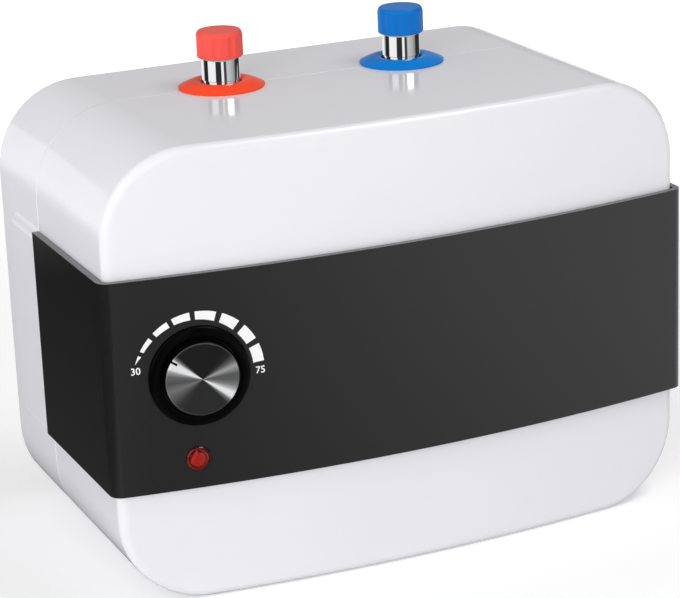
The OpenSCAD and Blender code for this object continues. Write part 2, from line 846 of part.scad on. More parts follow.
module stub(x, lip) {
    color(chrome)
        translate([x, part_y, 0])
            difference() {
                union() {
                    translate([0, 0, tank_z1 - tank_wall])
                        cylinder(r = stub_neck_r, h = thread_z - tank_z1 + tank_wall);
                    translate([0, 0, thread_z]) cylinder(d = stub_d, h = stub_top - thread_z);
                    translate([0, 0, tank_z1]) cylinder(r = stub_collar_r, h = stub_collar_h);
                }
                translate([0, 0, tank_z1 - tank_wall - past])
                    cylinder(d = stub_bore, h = stub_top - tank_z1 + tank_wall + 2 * past);
                if (lip)
                    translate([0, 0, stub_top - dip_lip_h])
                        cylinder(r = dip_lip_r + 0.1, h = dip_lip_h + past);
            }
}

module hot_stub() {
    stub(stub_xs[0], false);
}

module cold_stub() {
    stub(stub_xs[1], true);
}

module cold_dip_tube() {
    r = stub_bore / 2 - 0.15;
    tube_wall = 1.4;
    low = tank_z0 + tank_wall + dip_gap;
    color([0.92, 0.92, 0.9])
        translate([stub_xs[1], part_y, 0])
            difference() {
                union() {
                    translate([0, 0, low]) cylinder(r = r, h = stub_top - low);
                    translate([0, 0, stub_top - dip_lip_h]) cylinder(r = dip_lip_r, h = dip_lip_h);
                }
                translate([0, 0, low + tube_wall]) cylinder(r = r - tube_wall, h = stub_top - low);
                for (a = [0:60:300])
                    rotate([0, 0, a])
                        translate([0, 0, low + 8])
                            along_x()
                                cylinder(d = 5, h = 2 * r, $fn = 24);
            }
}

// A dished disc with a neck that drops into the housing's hole
module rosette(x, tint) {
    r = rosette_d / 2;
    hole_r = stub_d / 2 + 0.75;
    neck_l = wall + 3;
    edge = 0.9;
    color(tint)
        translate([x, part_y, body_h])
            rotate_extrude($fn = 96)
                polygon(concat([[hole_r, -neck_l], [rosette_neck_r, -neck_l], [rosette_neck_r, 0],
                    [r - 0.3, 0], [r, 0.3], [r, edge]],
                    [for (i = [1:6])
                        let (t = i / 6)
                        [r - (r - hole_r - 3) * t, edge + (rosette_h - edge) * sin(90 * t)]],
                    [[hole_r + 1, rosette_h - 0.3], [hole_r, rosette_h - 1]]));
}

module hot_rosette() {
    rosette(stub_xs[0], red);
}

module cold_rosette() {
    rosette(stub_xs[1], blue);
}

// A fluted cap that stands on the end of its stub
module cap(x, tint) {
    r = cap_d / 2;
    bore_r = stub_d / 2 + 0.92;
    flute_r = 5;
    flute_depth = 0.65;
    foot = 1.2;
    shoulder = 2.2;
    flute_h = cap_h - foot - shoulder - 0.6;
    color(tint)
        translate([x, part_y, body_h + stub_show])
            difference() {
                rotate_extrude($fn = 72)
                    polygon([[0, 0], [r - 0.5, 0], [r, 0.5], [r, cap_h - shoulder], [r - 0.5, cap_h - 0.8],
                        [r - 1.3, cap_h], [0, cap_h]]);
                translate([0, 0, -past]) cylinder(r = bore_r, h = cap_h - cap_roof + past);
                for (i = [0:cap_flutes - 1])
                    rotate([0, 0, 360 * i / cap_flutes])
                        translate([r + flute_r - flute_depth, 0, foot])
                            cylinder(r = flute_r, h = flute_h);
            }
}

module hot_cap() {
    cap(stub_xs[0], red);
}

module cold_cap() {
    cap(stub_xs[1], blue);
}

// Insulation

foam_x0 = tank_x0 + tank_end_r;
foam_gap = 0.6;
// Depth of the foam's front behind the bow, clear of the round inner edge of the housing
foam_bow_gap = wall + drop_gap + 0.3 * front_edge_r;

// Foam block as wide as the housing's inside, open to the control space on the left
module foam_block(y_a, y_b) {
    inset = wall + drop_gap;
    intersection() {
        body_slab(inset, y_a, y_b);
        translate([foam_x0, y_a - past, 0]) cube([body_w, y_b - y_a + 2 * past, body_h]);
    }
}

// Room for the tank, its seam, the stubs' collars and the bosses
module foam_room() {
    grow = foam_gap;
    translate([tank_x0 - past, tank_y0 - grow, tank_z0 - grow])
        cube([tank_x1 - tank_x0 + grow + past, tank_y1 - tank_y0 + 2 * grow, tank_z1 - tank_z0 + 2 * grow]);
    lip = seam_lip + grow;
    translate([tank_mid_x - tank_wall - grow, tank_y0 - lip, tank_z0 - lip])
        cube([2 * (tank_wall + grow), tank_y1 - tank_y0 + 2 * lip, tank_z1 - tank_z0 + 2 * lip]);
    for (x = stub_xs)
        translate([x, part_y, tank_mid_z]) cylinder(r = stub_collar_r + grow, h = body_h);
    at_bosses() translate([0, front_y - front_bow, 0]) along_y() cylinder(r = boss_r + grow, h = 2 * body_d);
}

module insulation_front() {
    color(foam)
        difference() {
            intersection() {
                foam_block(front_y - front_bow, part_y);
                linear_extrude(body_h)
                    polygon(concat([[half_w, part_y + past]],
                        [for (i = [front_steps:-1:-front_steps])
                            let (x = half_w * i / front_steps) [x, bow_y(x) + foam_bow_gap]],
                        [[-half_w, part_y + past]]));
            }
            foam_room();
            at_hooks()
                translate([-hook_w / 2 - past, -past, -hook_t / 2 - past])
                    cube([hook_w + 2 * past, hook_reach + 2 * past, hook_t + hook_barb + 2 * past]);
        }
}

module insulation_rear() {
    color(foam)
        difference() {
            foam_block(part_y, back_y - wall - drop_gap);
            foam_room();
            translate([-hanger_box_w / 2 - drop_gap, back_y - hanger_box_d - drop_gap,
                hanger_z - hanger_box_h / 2 - drop_gap])
                cube([hanger_box_w + 2 * drop_gap, hanger_box_d, hanger_box_h + 2 * drop_gap]);
        }
}

// Service flange

gasket_t = 2;
flange_t = 3;
flange_face = gasket_t + flange_t;
nut_h = 5;
element_dy = -12;
side_dy = 11;
side_dz = 11;
bush_l = 9;
bush_d = 11;
// Reach of a stud out of the tank's end
stud_out = flange_face + nut_h + 3;
// Direction of the stud that takes the earth lead, from the top towards the back
earth_deg = 360 * 1.5 / stud_count;

module flange_holes(h) {
    at_studs() along_x() cylinder(d = stud_bolt_d + 2 * shaft_gap, h = h, $fn = 24);
}

module flange_studs() {
    color(steel)
        on_flange()
            at_studs()
                translate([-stud_out, 0, 0]) along_x() cylinder(d = stud_bolt_d, h = stud_out, $fn = 24);
}

module flange_gasket() {
    color([0.55, 0.2, 0.16])
        on_flange()
            translate([-gasket_t, 0, 0])
                difference() {
                    along_x() ring(flange_d / 2, opening_d / 2, gasket_t);
                    translate([-past, 0, 0]) flange_holes(gasket_t + 2 * past);
                }
}

module element_flange() {
    color(brass)
        on_flange()
            translate([-flange_face, 0, 0])
                difference() {
                    along_x() cylinder(d = flange_d, h = flange_t);
                    translate([-past, 0, 0]) {
                        flange_holes(flange_t + 2 * past);
                        for (s = [-1, 1])
                            translate([0, element_dy, s * element_bend_r])
                                along_x()
                                    cylinder(d = element_d + 0.2, h = flange_t + 2 * past);
                        translate([0, side_dy, side_dz])
                            along_x()
                                cylinder(d = anode_stud_d + 0.4, h = flange_t + 2 * past, $fn = 24);
                        translate([0, side_dy, -side_dz])
                            along_x()
                                cylinder(d = pocket_d + 0.2, h = flange_t + 2 * past);
                    }
                }
}

module flange_nuts() {
    color(steel)
        on_flange()
            at_studs()
                translate([-flange_face - nut_h, 0, 0])
                    along_x()
                        difference() {
                            cylinder(d = 1.9 * stud_bolt_d, h = nut_h, $fn = 6);
                            translate([0, 0, -past])
                                cylinder(d = stud_bolt_d + 0.1, h = nut_h + 2 * past, $fn = 24);
                        }
}

pin_l = 16;
// Reach of the element's sheath out of the flange
element_out = 2;

module heating_element() {
    bend_x = element_reach - element_bend_r;
    color([0.62, 0.56, 0.5])
        on_flange()
            union() {
                for (s = [-1, 1])
                    translate([-flange_face - element_out, element_dy, s * element_bend_r]) {
                        along_x() cylinder(d = element_d, h = flange_face + element_out + bend_x);
                        translate([-pin_l, 0, 0]) along_x() cylinder(d = 4, h = pin_l, $fn = 24);
                    }
                translate([bend_x, element_dy, 0])
                    rotate([90, 0, 0])
                        rotate_extrude(angle = 180, start = -90)
                            translate([element_bend_r, 0])
                                circle(d = element_d);
            }
}

module terminal_bushes() {
    color([0.92, 0.9, 0.86])
        on_flange()
            for (s = [-1, 1])
                translate([-flange_face - element_out - bush_l, element_dy, s * element_bend_r])
                    along_x()
                        ring(bush_d / 2, 2.1, bush_l);
}

anode_stud_d = 5;
anode_nut_h = 4;

module anode_rod() {
    color([0.7, 0.71, 0.72])
        on_flange()
            translate([0, side_dy, side_dz]) {
                translate([-gasket_t, 0, 0]) along_x() cylinder(d = anode_d, h = anode_l);
                translate([-flange_face - anode_nut_h - 2, 0, 0])
                    along_x()
                        cylinder(d = anode_stud_d, h = flange_t + anode_nut_h + 2, $fn = 24);
            }
}

module anode_nut() {
    color(steel)
        on_flange()
            translate([-flange_face - anode_nut_h, side_dy, side_dz])
                along_x()
                    difference() {
                        cylinder(d = 1.9 * anode_stud_d, h = anode_nut_h, $fn = 6);
                        translate([0, 0, -past])
                            cylinder(d = anode_stud_d + 0.1, h = anode_nut_h + 2 * past, $fn = 24);
                    }
}

pocket_wall = 1;
bulb_d = pocket_d - 2 * pocket_wall - 0.6;
bulb_l = 80;
bulb_x = pocket_l - flange_face - pocket_wall - seat_gap - bulb_l;

module sensor_pocket() {
    collar_r = pocket_d / 2 + 1.2;
    color([0.8, 0.55, 0.38])
        on_flange()
            translate([-flange_face, side_dy, -side_dz])
                along_x()
                    difference() {
                        union() {
                            cylinder(d = pocket_d, h = pocket_l);
                            translate([0, 0, -1.5]) cylinder(r = collar_r, h = 1.5);
                        }
                        translate([0, 0, -2 * past])
                            cylinder(d = pocket_d - 2 * pocket_wall, h = pocket_l + 2 * past - pocket_wall);
                    }
}

module sensor_bulb() {
    color([0.8, 0.5, 0.3])
        on_flange()
            translate([bulb_x, side_dy, -side_dz])
                along_x()
                    cylinder(d = bulb_d, h = bulb_l);
}

// Limiter

cutout_d = 17;
cutout_h = 11;
button_d = 4;
button_show = 3;
button_travel = 1.5;
cutout_tab_l = 6;
cutout_tab_y = 6.2;

module thermal_cutout() {
    tab_w = 5;
    tab_t = 0.8;
    color([0.2, 0.2, 0.22])
        on_flange()
            translate([-flange_face, 0, 0])
                rotate([0, -90, 0])
                    difference() {
                        union() {
                            cylinder(d = cutout_d, h = cutout_h);
                            for (s = [-1, 1])
                                translate([1 - tab_w / 2, s * cutout_tab_y - tab_t / 2, cutout_h - past])
                                    cube([tab_w, tab_t, cutout_tab_l + past]);
                        }
                        translate([0, 0, cutout_h - button_travel - 4])
                            cylinder(d = button_d + 2 * shaft_gap, h = button_travel + 4 + past);
                    }
}

module reset_button() {
    color([0.85, 0.2, 0.15])
        on_flange()
            translate([-flange_face - cutout_h, 0, 0])
                rotate([0, -90, 0])
                    translate([0, 0, -3.5])
                        union() {
                            cylinder(d = button_d, h = button_show + 3);
                            translate([0, 0, button_show + 3]) cylinder(d = button_d - 0.8, h = 0.5);
                        }
}

// Wiring in the control space, each lead between the ends of the pieces it joins

block_w = 44;
block_h = 16;
block_d = 17;
block_x = -half_w + wall + block_w / 2 + 8;
block_y = back_y - wall - block_d;
block_z = 92;
block_holes = [-15, 0, 15];
block_hole_l = 9;
block_screw_x = 7.5;
block_screw_seat = 5;

module terminal_block() {
    color([0.9, 0.9, 0.86])
        translate([block_x, block_y, block_z])
            difference() {
                translate([-block_w / 2, 0, -block_h / 2]) cube([block_w, block_d, block_h]);
                for (x = block_holes)
                    translate([x, -past, 0]) along_y() cylinder(d = 5, h = block_hole_l + past, $fn = 24);
                translate([block_screw_x, -past, 0])
                    along_y() {
                        cylinder(d = 3.5, h = block_d + 2 * past, $fn = 24);
                        cylinder(d = 6.6, h = block_screw_seat + past, $fn = 24);
                    }
            }
}

module terminal_screw() {
    color(steel)
        translate([block_x + block_screw_x, block_y + block_screw_seat, block_z])
            rotate([90, 0, 0])
                pan_screw(3, block_d - block_screw_seat, 6, 2);
}

lead_d = 2.6;
capillary_d = 1.6;
// Gap between a lead's end and its terminal
touch = 0.4;
// Straight length of a lead at its terminal
lead_straight = 8;
// Sideways place of leads that run along the housing's left side
side_x = -half_w + wall + 14;
dial_tilt = asin(dial_x / (bow_r + band_proud));
dial_in = [-sin(dial_tilt), cos(dial_tilt), 0];

// A point behind the dial: sideways, up and inwards from the band's face
function behind_dial(x, z, depth) =
    [dial_x + x * cos(dial_tilt), bow_y(dial_x, band_proud) + x * sin(dial_tilt), dial_z + z]
        + depth * dial_in;
function tab_end(up) =
    behind_dial(tab_x, up * (thermostat_h / 2 - tab_inset), plate_back + thermostat_d + tab_l + touch);
function cutout_end(s) =
    [tank_x0 - flange_face - cutout_h - cutout_tab_l - touch, tank_mid_y + s * cutout_tab_y, flange_z + 1];
function pin_end(s) =
    [tank_x0 - flange_face - element_out - pin_l - touch, tank_mid_y + element_dy,
        flange_z + s * element_bend_r];
function block_hole(i) = [block_x + block_holes[i], block_y, block_z];

module supply_lead() {
    a = block_hole(0);
    b = tab_end(1);
    color([0.45, 0.26, 0.16])
        tube_along([a + [0, block_hole_l - touch, 0], a - [0, lead_straight, 0],
            [side_x, part_y, block_z + 1.2 * lead_straight],
            [side_x, b.y + 4.5 * lead_straight, b.z - 1.8 * lead_straight],
            b + lead_straight * [-1.6, 2.1, -0.25], b + lead_straight * dial_in, b], lead_d);
}

module limiter_lead() {
    a = tab_end(-1);
    b = cutout_end(-1);
    color([0.5, 0.3, 0.18])
        tube_along([a, a + lead_straight * dial_in,
            [b.x - 1.6 * lead_straight, (a.y + b.y) / 2, (a.z + b.z) / 2],
            b - [lead_straight, 0, 0], b], lead_d);
}

module element_lead() {
    a = cutout_end(1);
    b = pin_end(1);
    color([0.5, 0.3, 0.18])
        tube_along([a, a - [lead_straight, 0, 0], (a + b) / 2 - [2.2 * lead_straight, 0, 0],
            b - [lead_straight, 0, 0], b], lead_d);
}

module neutral_lead() {
    a = block_hole(1);
    b = pin_end(-1);
    color([0.1, 0.3, 0.6])
        tube_along([a + [0, block_hole_l - touch, 0], a - [0, lead_straight, 0],
            [b.x - 2.1 * lead_straight, part_y, b.z - 1.2 * lead_straight],
            b + lead_straight * [-2.5, 1.2, -1.2], b - [lead_straight, 0, 0], b], lead_d);
}

module earth_lead() {
    a = block_hole(2);
    b = [tank_x0 - stud_out - touch, tank_mid_y + stud_circle_d / 2 * sin(earth_deg),
        flange_z + stud_circle_d / 2 * cos(earth_deg)];
    color([0.5, 0.65, 0.2])
        tube_along([a + [0, block_hole_l - touch, 0], a - [0, lead_straight, 0],
            (a + b) / 2 - [0.75 * lead_straight, 0, 0],
            b - [lead_straight, 0, 0], b], lead_d);
}

module capillary_tube() {
    a = behind_dial(-tab_x, 0, plate_back + thermostat_d + touch);
    b = [tank_x0 + bulb_x - touch, tank_mid_y + side_dy, flange_z - side_dz];
    mouth = [tank_x0 - flange_face, b.y, b.z];
    color([0.8, 0.5, 0.3])
        tube_along([a, a + lead_straight * dial_in, a + lead_straight * [-0.5, 4.5, 1.75],
            a + lead_straight * [-2.5, 7, 2.5],
            [mouth.x - 4.5 * lead_straight, part_y, a.z + 1.5 * lead_straight],
            mouth + lead_straight * [-3.5, 2.25, 2.75], mouth + lead_straight * [-2.25, 0.75, 0.9],
            mouth - [lead_straight, 0, 0], mouth, b], capillary_d);
}

// Cord entry

module cord_gland() {
    floor_y = back_y - gland_depth;
    flange_h = 3;
    nose_h = 6;
    stem = gland_wall + 8;
    color(black)
        translate([gland_x, floor_y, gland_z])
            along_y()
                difference() {
                    union() {
                        translate([0, 0, -stem]) cylinder(r = gland_hole_r, h = stem);
                        cylinder(r = gland_hole_r + 3, h = flange_h);
                        translate([0, 0, flange_h])
                            cylinder(r1 = gland_hole_r + 1.4, r2 = gland_hole_r + 0.2, h = nose_h);
                    }
                    translate([0, 0, -stem - past])
                        cylinder(d = gland_bore, h = stem + flange_h + nose_h + 2 * past);
                }
}

module gland_nut() {
    nut_t = 4;
    color(black)
        translate([gland_x, back_y - gland_depth - gland_wall - nut_t, gland_z])
            along_y()
                difference() {
                    cylinder(r = gland_hole_r + 3.4, h = nut_t, $fn = 6);
                    translate([0, 0, -past]) cylinder(r = gland_hole_r + 0.05, h = nut_t + 2 * past);
                }
}

// Fasteners and hanger

module shell_screws() {
    thread_l = 16;
    color(steel)
        at_bosses()
            translate([0, boss_meet_y + screw_floor, 0])
                along_y()
                    pan_screw(2 * screw_shank_r, screw_floor + thread_l, 2 * screw_head_r, 2.6);
}

module at_hanger_screws() {
    for (sx = [-1, 1], sz = [-1, 1])
        translate([sx * hanger_screw_x, back_y - hanger_drop - hanger_t, hanger_z + sz * hanger_screw_z])
            children();
}

module hanger_plate() {
    slot_l = 9;
    color(steel)
        difference() {
            translate([-hanger_w / 2, back_y - hanger_drop - hanger_t, hanger_z - hanger_h / 2])
                cube([hanger_w, hanger_t, hanger_h]);
            for (sx = [-1, 1])
                translate([sx * keyhole_pitch / 2, back_y - hanger_drop - hanger_t - past, hanger_z]) {
                    along_y() cylinder(d = keyhole_d, h = hanger_t + 2 * past);
                    translate([-keyhole_slot / 2, 0, 0]) cube([keyhole_slot, hanger_t + 2 * past, slot_l]);
                    translate([0, 0, slot_l]) along_y() cylinder(d = keyhole_slot, h = hanger_t + 2 * past);
                }
            at_hanger_screws()
                along_y() {
                    translate([0, 0, -past]) cylinder(r = hanger_screw_r + 0.35, h = hanger_t + 2 * past);
                    translate([0, 0, hanger_t - hanger_head_h])
                        cylinder(r1 = hanger_screw_r + shaft_gap, r2 = hanger_head_r + shaft_gap,
                            h = hanger_head_h);
                    translate([0, 0, hanger_t]) cylinder(r = hanger_head_r + shaft_gap, h = past);
                }
        }
}

module hanger_screws() {
    color(steel)
        at_hanger_screws()
            translate([0, hanger_t, 0])
                along_y()
                    flat_screw(2 * hanger_screw_r, hanger_t + hanger_pocket - past, 2 * hanger_head_r,
                        hanger_head_h);
}

front_shell();
rear_shell();
control_band();
dial_bezel();
knob_body();
knob_face();
thermostat_shaft();
thermostat_body();
thermostat_screws();
lamp_lens();
lamp_body();
lamp_clip();
hot_stub();
cold_stub();
hot_rosette();
cold_rosette();
hot_cap();
cold_cap();
cold_dip_tube();
tank_left();
tank_right();
insulation_front();
insulation_rear();
flange_studs();
flange_gasket();
element_flange();
flange_nuts();
heating_element();
terminal_bushes();
anode_rod();
anode_nut();
sensor_pocket();
sensor_bulb();
capillary_tube();
thermal_cutout();
reset_button();
terminal_block();
terminal_screw();
supply_lead();
limiter_lead();
element_lead();
neutral_lead();
earth_lead();
cord_gland();
gland_nut();
shell_screws();
hanger_plate();
hanger_screws();
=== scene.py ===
"""Looks of a compact electric water heater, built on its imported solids: a glossy white housing with
a satin black control band, a spun metal dial, a red lamp and capped chrome pipe stubs."""

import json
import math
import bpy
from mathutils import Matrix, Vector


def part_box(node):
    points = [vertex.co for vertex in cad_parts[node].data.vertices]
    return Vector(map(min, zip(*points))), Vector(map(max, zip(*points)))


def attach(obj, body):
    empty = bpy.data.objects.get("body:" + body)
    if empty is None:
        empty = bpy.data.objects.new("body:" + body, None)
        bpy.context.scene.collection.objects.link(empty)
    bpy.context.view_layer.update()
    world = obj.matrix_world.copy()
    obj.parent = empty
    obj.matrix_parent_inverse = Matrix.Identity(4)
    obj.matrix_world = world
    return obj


bl_info = {
    "name": "Compact Water Heater",
    "version": (1, 0, 0),
    "blender": (4, 5, 0),
    "location": "View3D > Sidebar > Heater",
    "description": "Finishes, printed dial scale and studio for a compact water heater",
    "category": "Object",
}

import bpy
from bpy.props import FloatProperty, FloatVectorProperty, PointerProperty, StringProperty
from mathutils import Matrix, Vector

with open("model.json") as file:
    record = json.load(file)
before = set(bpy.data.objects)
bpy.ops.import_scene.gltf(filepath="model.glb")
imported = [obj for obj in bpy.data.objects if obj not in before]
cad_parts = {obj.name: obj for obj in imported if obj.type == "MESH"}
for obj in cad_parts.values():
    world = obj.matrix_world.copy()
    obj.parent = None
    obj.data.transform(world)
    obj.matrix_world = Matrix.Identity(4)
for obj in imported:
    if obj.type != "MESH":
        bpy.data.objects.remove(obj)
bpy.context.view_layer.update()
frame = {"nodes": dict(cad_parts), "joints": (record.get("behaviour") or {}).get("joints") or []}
NODES = frame["nodes"]
ROOT = "heater"
MM = 0.001
UP = Vector((0, 0, 1))

# Edges that bend by more than this, in degrees, stay crisp
CRISP_DEG = 28.0

# The dial's place and axis come from the knob's joint. The band is a round bow about an upright axis
# that the knob's own axis meets, so that joint gives the bow as well.
KNOB_JOINT = next(j for j in frame["joints"] if j["name"] == "knob_turn")
DIAL = Vector(KNOB_JOINT["pos_m"])
INWARD = Vector(KNOB_JOINT["axis"]).normalized()
ACROSS = UP.cross(-INWARD)
BOW_R = -DIAL.x / INWARD.x
BOW_MID = DIAL + BOW_R * INWARD


def colour(name, description, default):
    return FloatVectorProperty(name=name, description=description, subtype="COLOR", size=3, min=0, max=1,
                               default=default)


def length(name, description, default):
    return FloatProperty(name=name, description=description, subtype="DISTANCE", unit="LENGTH", min=0,
                         precision=5, default=default)


def share(name, description, default, high=1.0):
    return FloatProperty(name=name, description=description, subtype="FACTOR", min=0, max=high,
                         default=default)


def power(name, description, default):
    return FloatProperty(name=name, description=description, min=0, default=default)


def turned(name, description, degrees):
    return FloatProperty(name=name, description=description, subtype="ANGLE", default=math.radians(degrees))


class HousingLook(bpy.types.PropertyGroup):
    plastic: colour("Plastic", "Colour of the two moulded halves", (0.83, 0.82, 0.855))
    roughness: share("Roughness", "Roughness of the moulded surface", 0.1)
    peel_size: length("Peel size", "Width of the shallow waves in the moulded surface", 0.006)
    peel_depth: length("Peel depth", "Depth of those waves", 0.000004)
    seam_w: length("Seam width", "Reach of the seam's line to each side", 0.0007)
    # The seam's pale line on the sides is a painted highlight, and its darkening on the top is painted shade
    seam_highlight: share("Seam gain", "How much paler the seam is on the sides", 0.08)
    seam_painted_shade: share("Seam shade", "How much darker the seam's broken edges are on the top", 0.3)
    # The pale line along the pads' slopes is a painted highlight
    pad_highlight_reach: length("Pad line", "Reach of the pale line along the borders of the side pads' slopes", 0.0013)
    pad_highlight_gain: share("Pad gain", "How much paler that line is", 0.13)


class BandLook(bpy.types.PropertyGroup):
    plastic: colour("Plastic", "Colour of the control band", (0.011, 0.011, 0.0115))
    # The paler edge colour is a painted highlight
    edge: colour("Edge", "Colour of the band's upper and lower edges", (0.14, 0.138, 0.147))
    roughness: share("Roughness", "Roughness of the satin surface", 0.3)
    side_share: share("Side roughness", "Share of that roughness that the band's sides have", 0.4)
    grain_size: length("Grain size", "Width of the fine moulded grain", 0.0005)
    grain_depth: length("Grain depth", "Depth of that grain", 0.000006)


class DialLook(bpy.types.PropertyGroup):
    ink: colour("Ink", "Colour of the printed scale", (0.92, 0.92, 0.92))
    ring: colour("Ring", "Colour of the bezel and the knob's side", (0.0015, 0.0015, 0.0018))
    metal: colour("Metal", "Colour of the spun face", (0.93, 0.935, 0.95))
    # The face's pale rim is a painted highlight
    rim_highlight_w: length("Rim width", "Width of the face's pale turned rim", 0.0006)
    rim_highlight_gain: share("Rim gain", "How much paler that rim is", 0.07)
    outer_r: length("Outer radius", "Outer radius of the printed scale", 0.0347)
    inner_low_r: length("Inner radius, low end", "Inner radius where the scale starts", 0.0334)
    inner_high_r: length("Inner radius, high end", "Inner radius where the scale ends", 0.0289)
    ink_h: length("Ink thickness", "Thickness of the printed scale", 0.00007)
    low_label: StringProperty(name="Low number", description="Plain number at the scale's cool end",
                              default="30")
    high_label: StringProperty(name="High number", description="Plain number at the scale's hot end",
                               default="75")
    label_size: length("Number size", "Type size of the two numbers", 0.0053)


class LampLook(bpy.types.PropertyGroup):
    lens: colour("Lens", "Colour of the lamp's lens", (0.31, 0.006, 0.003))
    glow: share("Glow", "Light that the lens gives off", 0.06, 4.0)


class PipeLook(bpy.types.PropertyGroup):
    hot_cap: colour("Hot cap", "Colour of the hot stub's cap", (0.9, 0.1, 0.075))
    hot_disc: colour("Hot disc", "Colour of the hot stub's rosette", (1.0, 0.08, 0.025))
    cold_cap: colour("Cold cap", "Colour of the cold stub's cap", (0.002, 0.17, 0.58))
    cold_disc: colour("Cold disc", "Colour of the cold stub's rosette", (0.002, 0.21, 0.66))
    chrome: colour("Chrome", "Colour of the plated stubs", (0.86, 0.87, 0.885))
    crown: share("Crown", "How far the plating's shading leans upwards", 0.42)
    cap_mirrored: share("Mirrored caps", "Tone of the caps where the housing mirrors them", 0.4)
    thread_pitch: length("Thread pitch", "Rise of the stubs' thread in one turn", 0.001814)
    thread_h: length("Thread height", "How far the thread stands out of its stub", 0.00042)
    thread_clear: length("Thread clearance", "Plain part of a stub at each end of its thread", 0.0014)


class StudioLook(bpy.types.PropertyGroup):
    floor: colour("Floor", "Colour of the floor", (0.9, 0.9, 0.905))
    room: share("Room light", "Even light from the room", 0.46, 4.0)
    key: power("Key light", "Power of the big light at the front left", 24.0)
    side: power("Side light", "Power of the light at the left", 5.4)
    top: power("Top light", "Power of the light above the front", 10.0)
    azimuth: turned("Azimuth", "Camera's turn round the heater", -23.455)
    elevation: turned("Elevation", "Camera's height above the horizon", 18.025)
    roll: turned("Roll", "Camera's roll", -2.317)
    distance: length("Distance", "Camera's distance from its target", 1.48354)
    lens: FloatProperty(name="Lens", description="Focal length in millimetres on a 36 mm wide sensor",
                        min=1, default=136.757)
    target: FloatVectorProperty(name="Target", description="Point in the middle of the picture",
                                subtype="TRANSLATION", unit="LENGTH", size=3,
                                default=(0.010805, 0.0225, 0.11103))


# Node tools


def wire(tree, kind, **values):
    """A new node. Values name its properties, and for other names its input sockets."""
    node = tree.nodes.new(kind)
    for key, value in values.items():
        if hasattr(node, key):
            setattr(node, key, value)
        else:
            node.inputs[key.replace("_", " ").title()].default_value = value
    return node


def join(tree, *pairs):
    for source, target in pairs:
        tree.links.new(source, target)


def sums(tree, operation, a, b=None, c=None):
    """The output of a Math node whose inputs are sockets or numbers."""
    node = wire(tree, "ShaderNodeMath", operation=operation)
    for socket, value in zip(node.inputs, (a, b, c)):
        if value is None:
            continue
        if isinstance(value, bpy.types.NodeSocket):
            tree.links.new(value, socket)
        else:
            socket.default_value = value
    return node.outputs[0]


def apart(tree, value, other):
    """How far two values lie apart."""
    return sums(tree, "ABSOLUTE", sums(tree, "SUBTRACT", value, other))


def parts_of(tree, vector):
    """The X, Y and Z of a vector."""
    node = wire(tree, "ShaderNodeSeparateXYZ")
    tree.links.new(vector, node.inputs[0])
    return node.outputs


def graded(tree, source, stops):
    """Grey tones at places from 0 to 1 along the source."""
    node = wire(tree, "ShaderNodeValToRGB")
    marks = node.color_ramp.elements
    while len(marks) < len(stops):
        marks.new(0.5)
    for mark, (place, tone) in zip(marks, stops):
        mark.position = place
        mark.color = (tone, tone, tone, 1)
    tree.links.new(source, node.inputs[0])
    return node.outputs[0]


def ranged(tree, source, start, end, low=0.0, high=1.0, shape="LINEAR"):
    """A value that goes from low to high as the source goes from start to end."""
    node = wire(tree, "ShaderNodeMapRange", interpolation_type=shape)
    limits = {"From Min": start, "From Max": end, "To Min": low, "To Max": high}
    for label, value in limits.items():
        node.inputs[label].default_value = value
    tree.links.new(source, node.inputs[0])
    return node.outputs[0]


def tinted(tree, base, tone):
    """A colour, or a socket that gives one, times a tone that changes over the surface."""
    node = wire(tree, "ShaderNodeVectorMath", operation="SCALE")
    if isinstance(base, bpy.types.NodeSocket):
        tree.links.new(base, node.inputs[0])
    else:
        node.inputs[0].default_value = base
    tree.links.new(tone, node.inputs["Scale"])
    return node.outputs[0]


def bumped(tree, shader, height, depth):
    node = wire(tree, "ShaderNodeBump", distance=depth)
    join(tree, (height, node.inputs["Height"]), (node.outputs["Normal"], shader.inputs["Normal"]))
    return node


def shader_of(material):
    return material.node_tree.nodes["Principled BSDF"]


def source_of(shader, label):
    """The socket that one of the shader's inputs takes its value from."""
    return shader.inputs[label].links[0].from_socket


def retone(material, tone):
    """Multiplies a finished material's colour by a tone that changes over the surface."""
    tree = material.node_tree
    shader = shader_of(material)
    join(tree, (tinted(tree, source_of(shader, "Base Color"), tone), shader.inputs["Base Color"]))


def new_group(name, inputs, outputs):
    """A shader node group with named sockets, and its input and output nodes."""
    group = bpy.data.node_groups.new(name, "ShaderNodeTree")
    for label, kind, default in inputs:
        socket = group.interface.new_socket(label, in_out="INPUT", socket_type=kind)
        socket.default_value = default
    for label in outputs:
        group.interface.new_socket(label, in_out="OUTPUT", socket_type="NodeSocketFloat")
    return group, group.nodes.new("NodeGroupInput"), group.nodes.new("NodeGroupOutput")


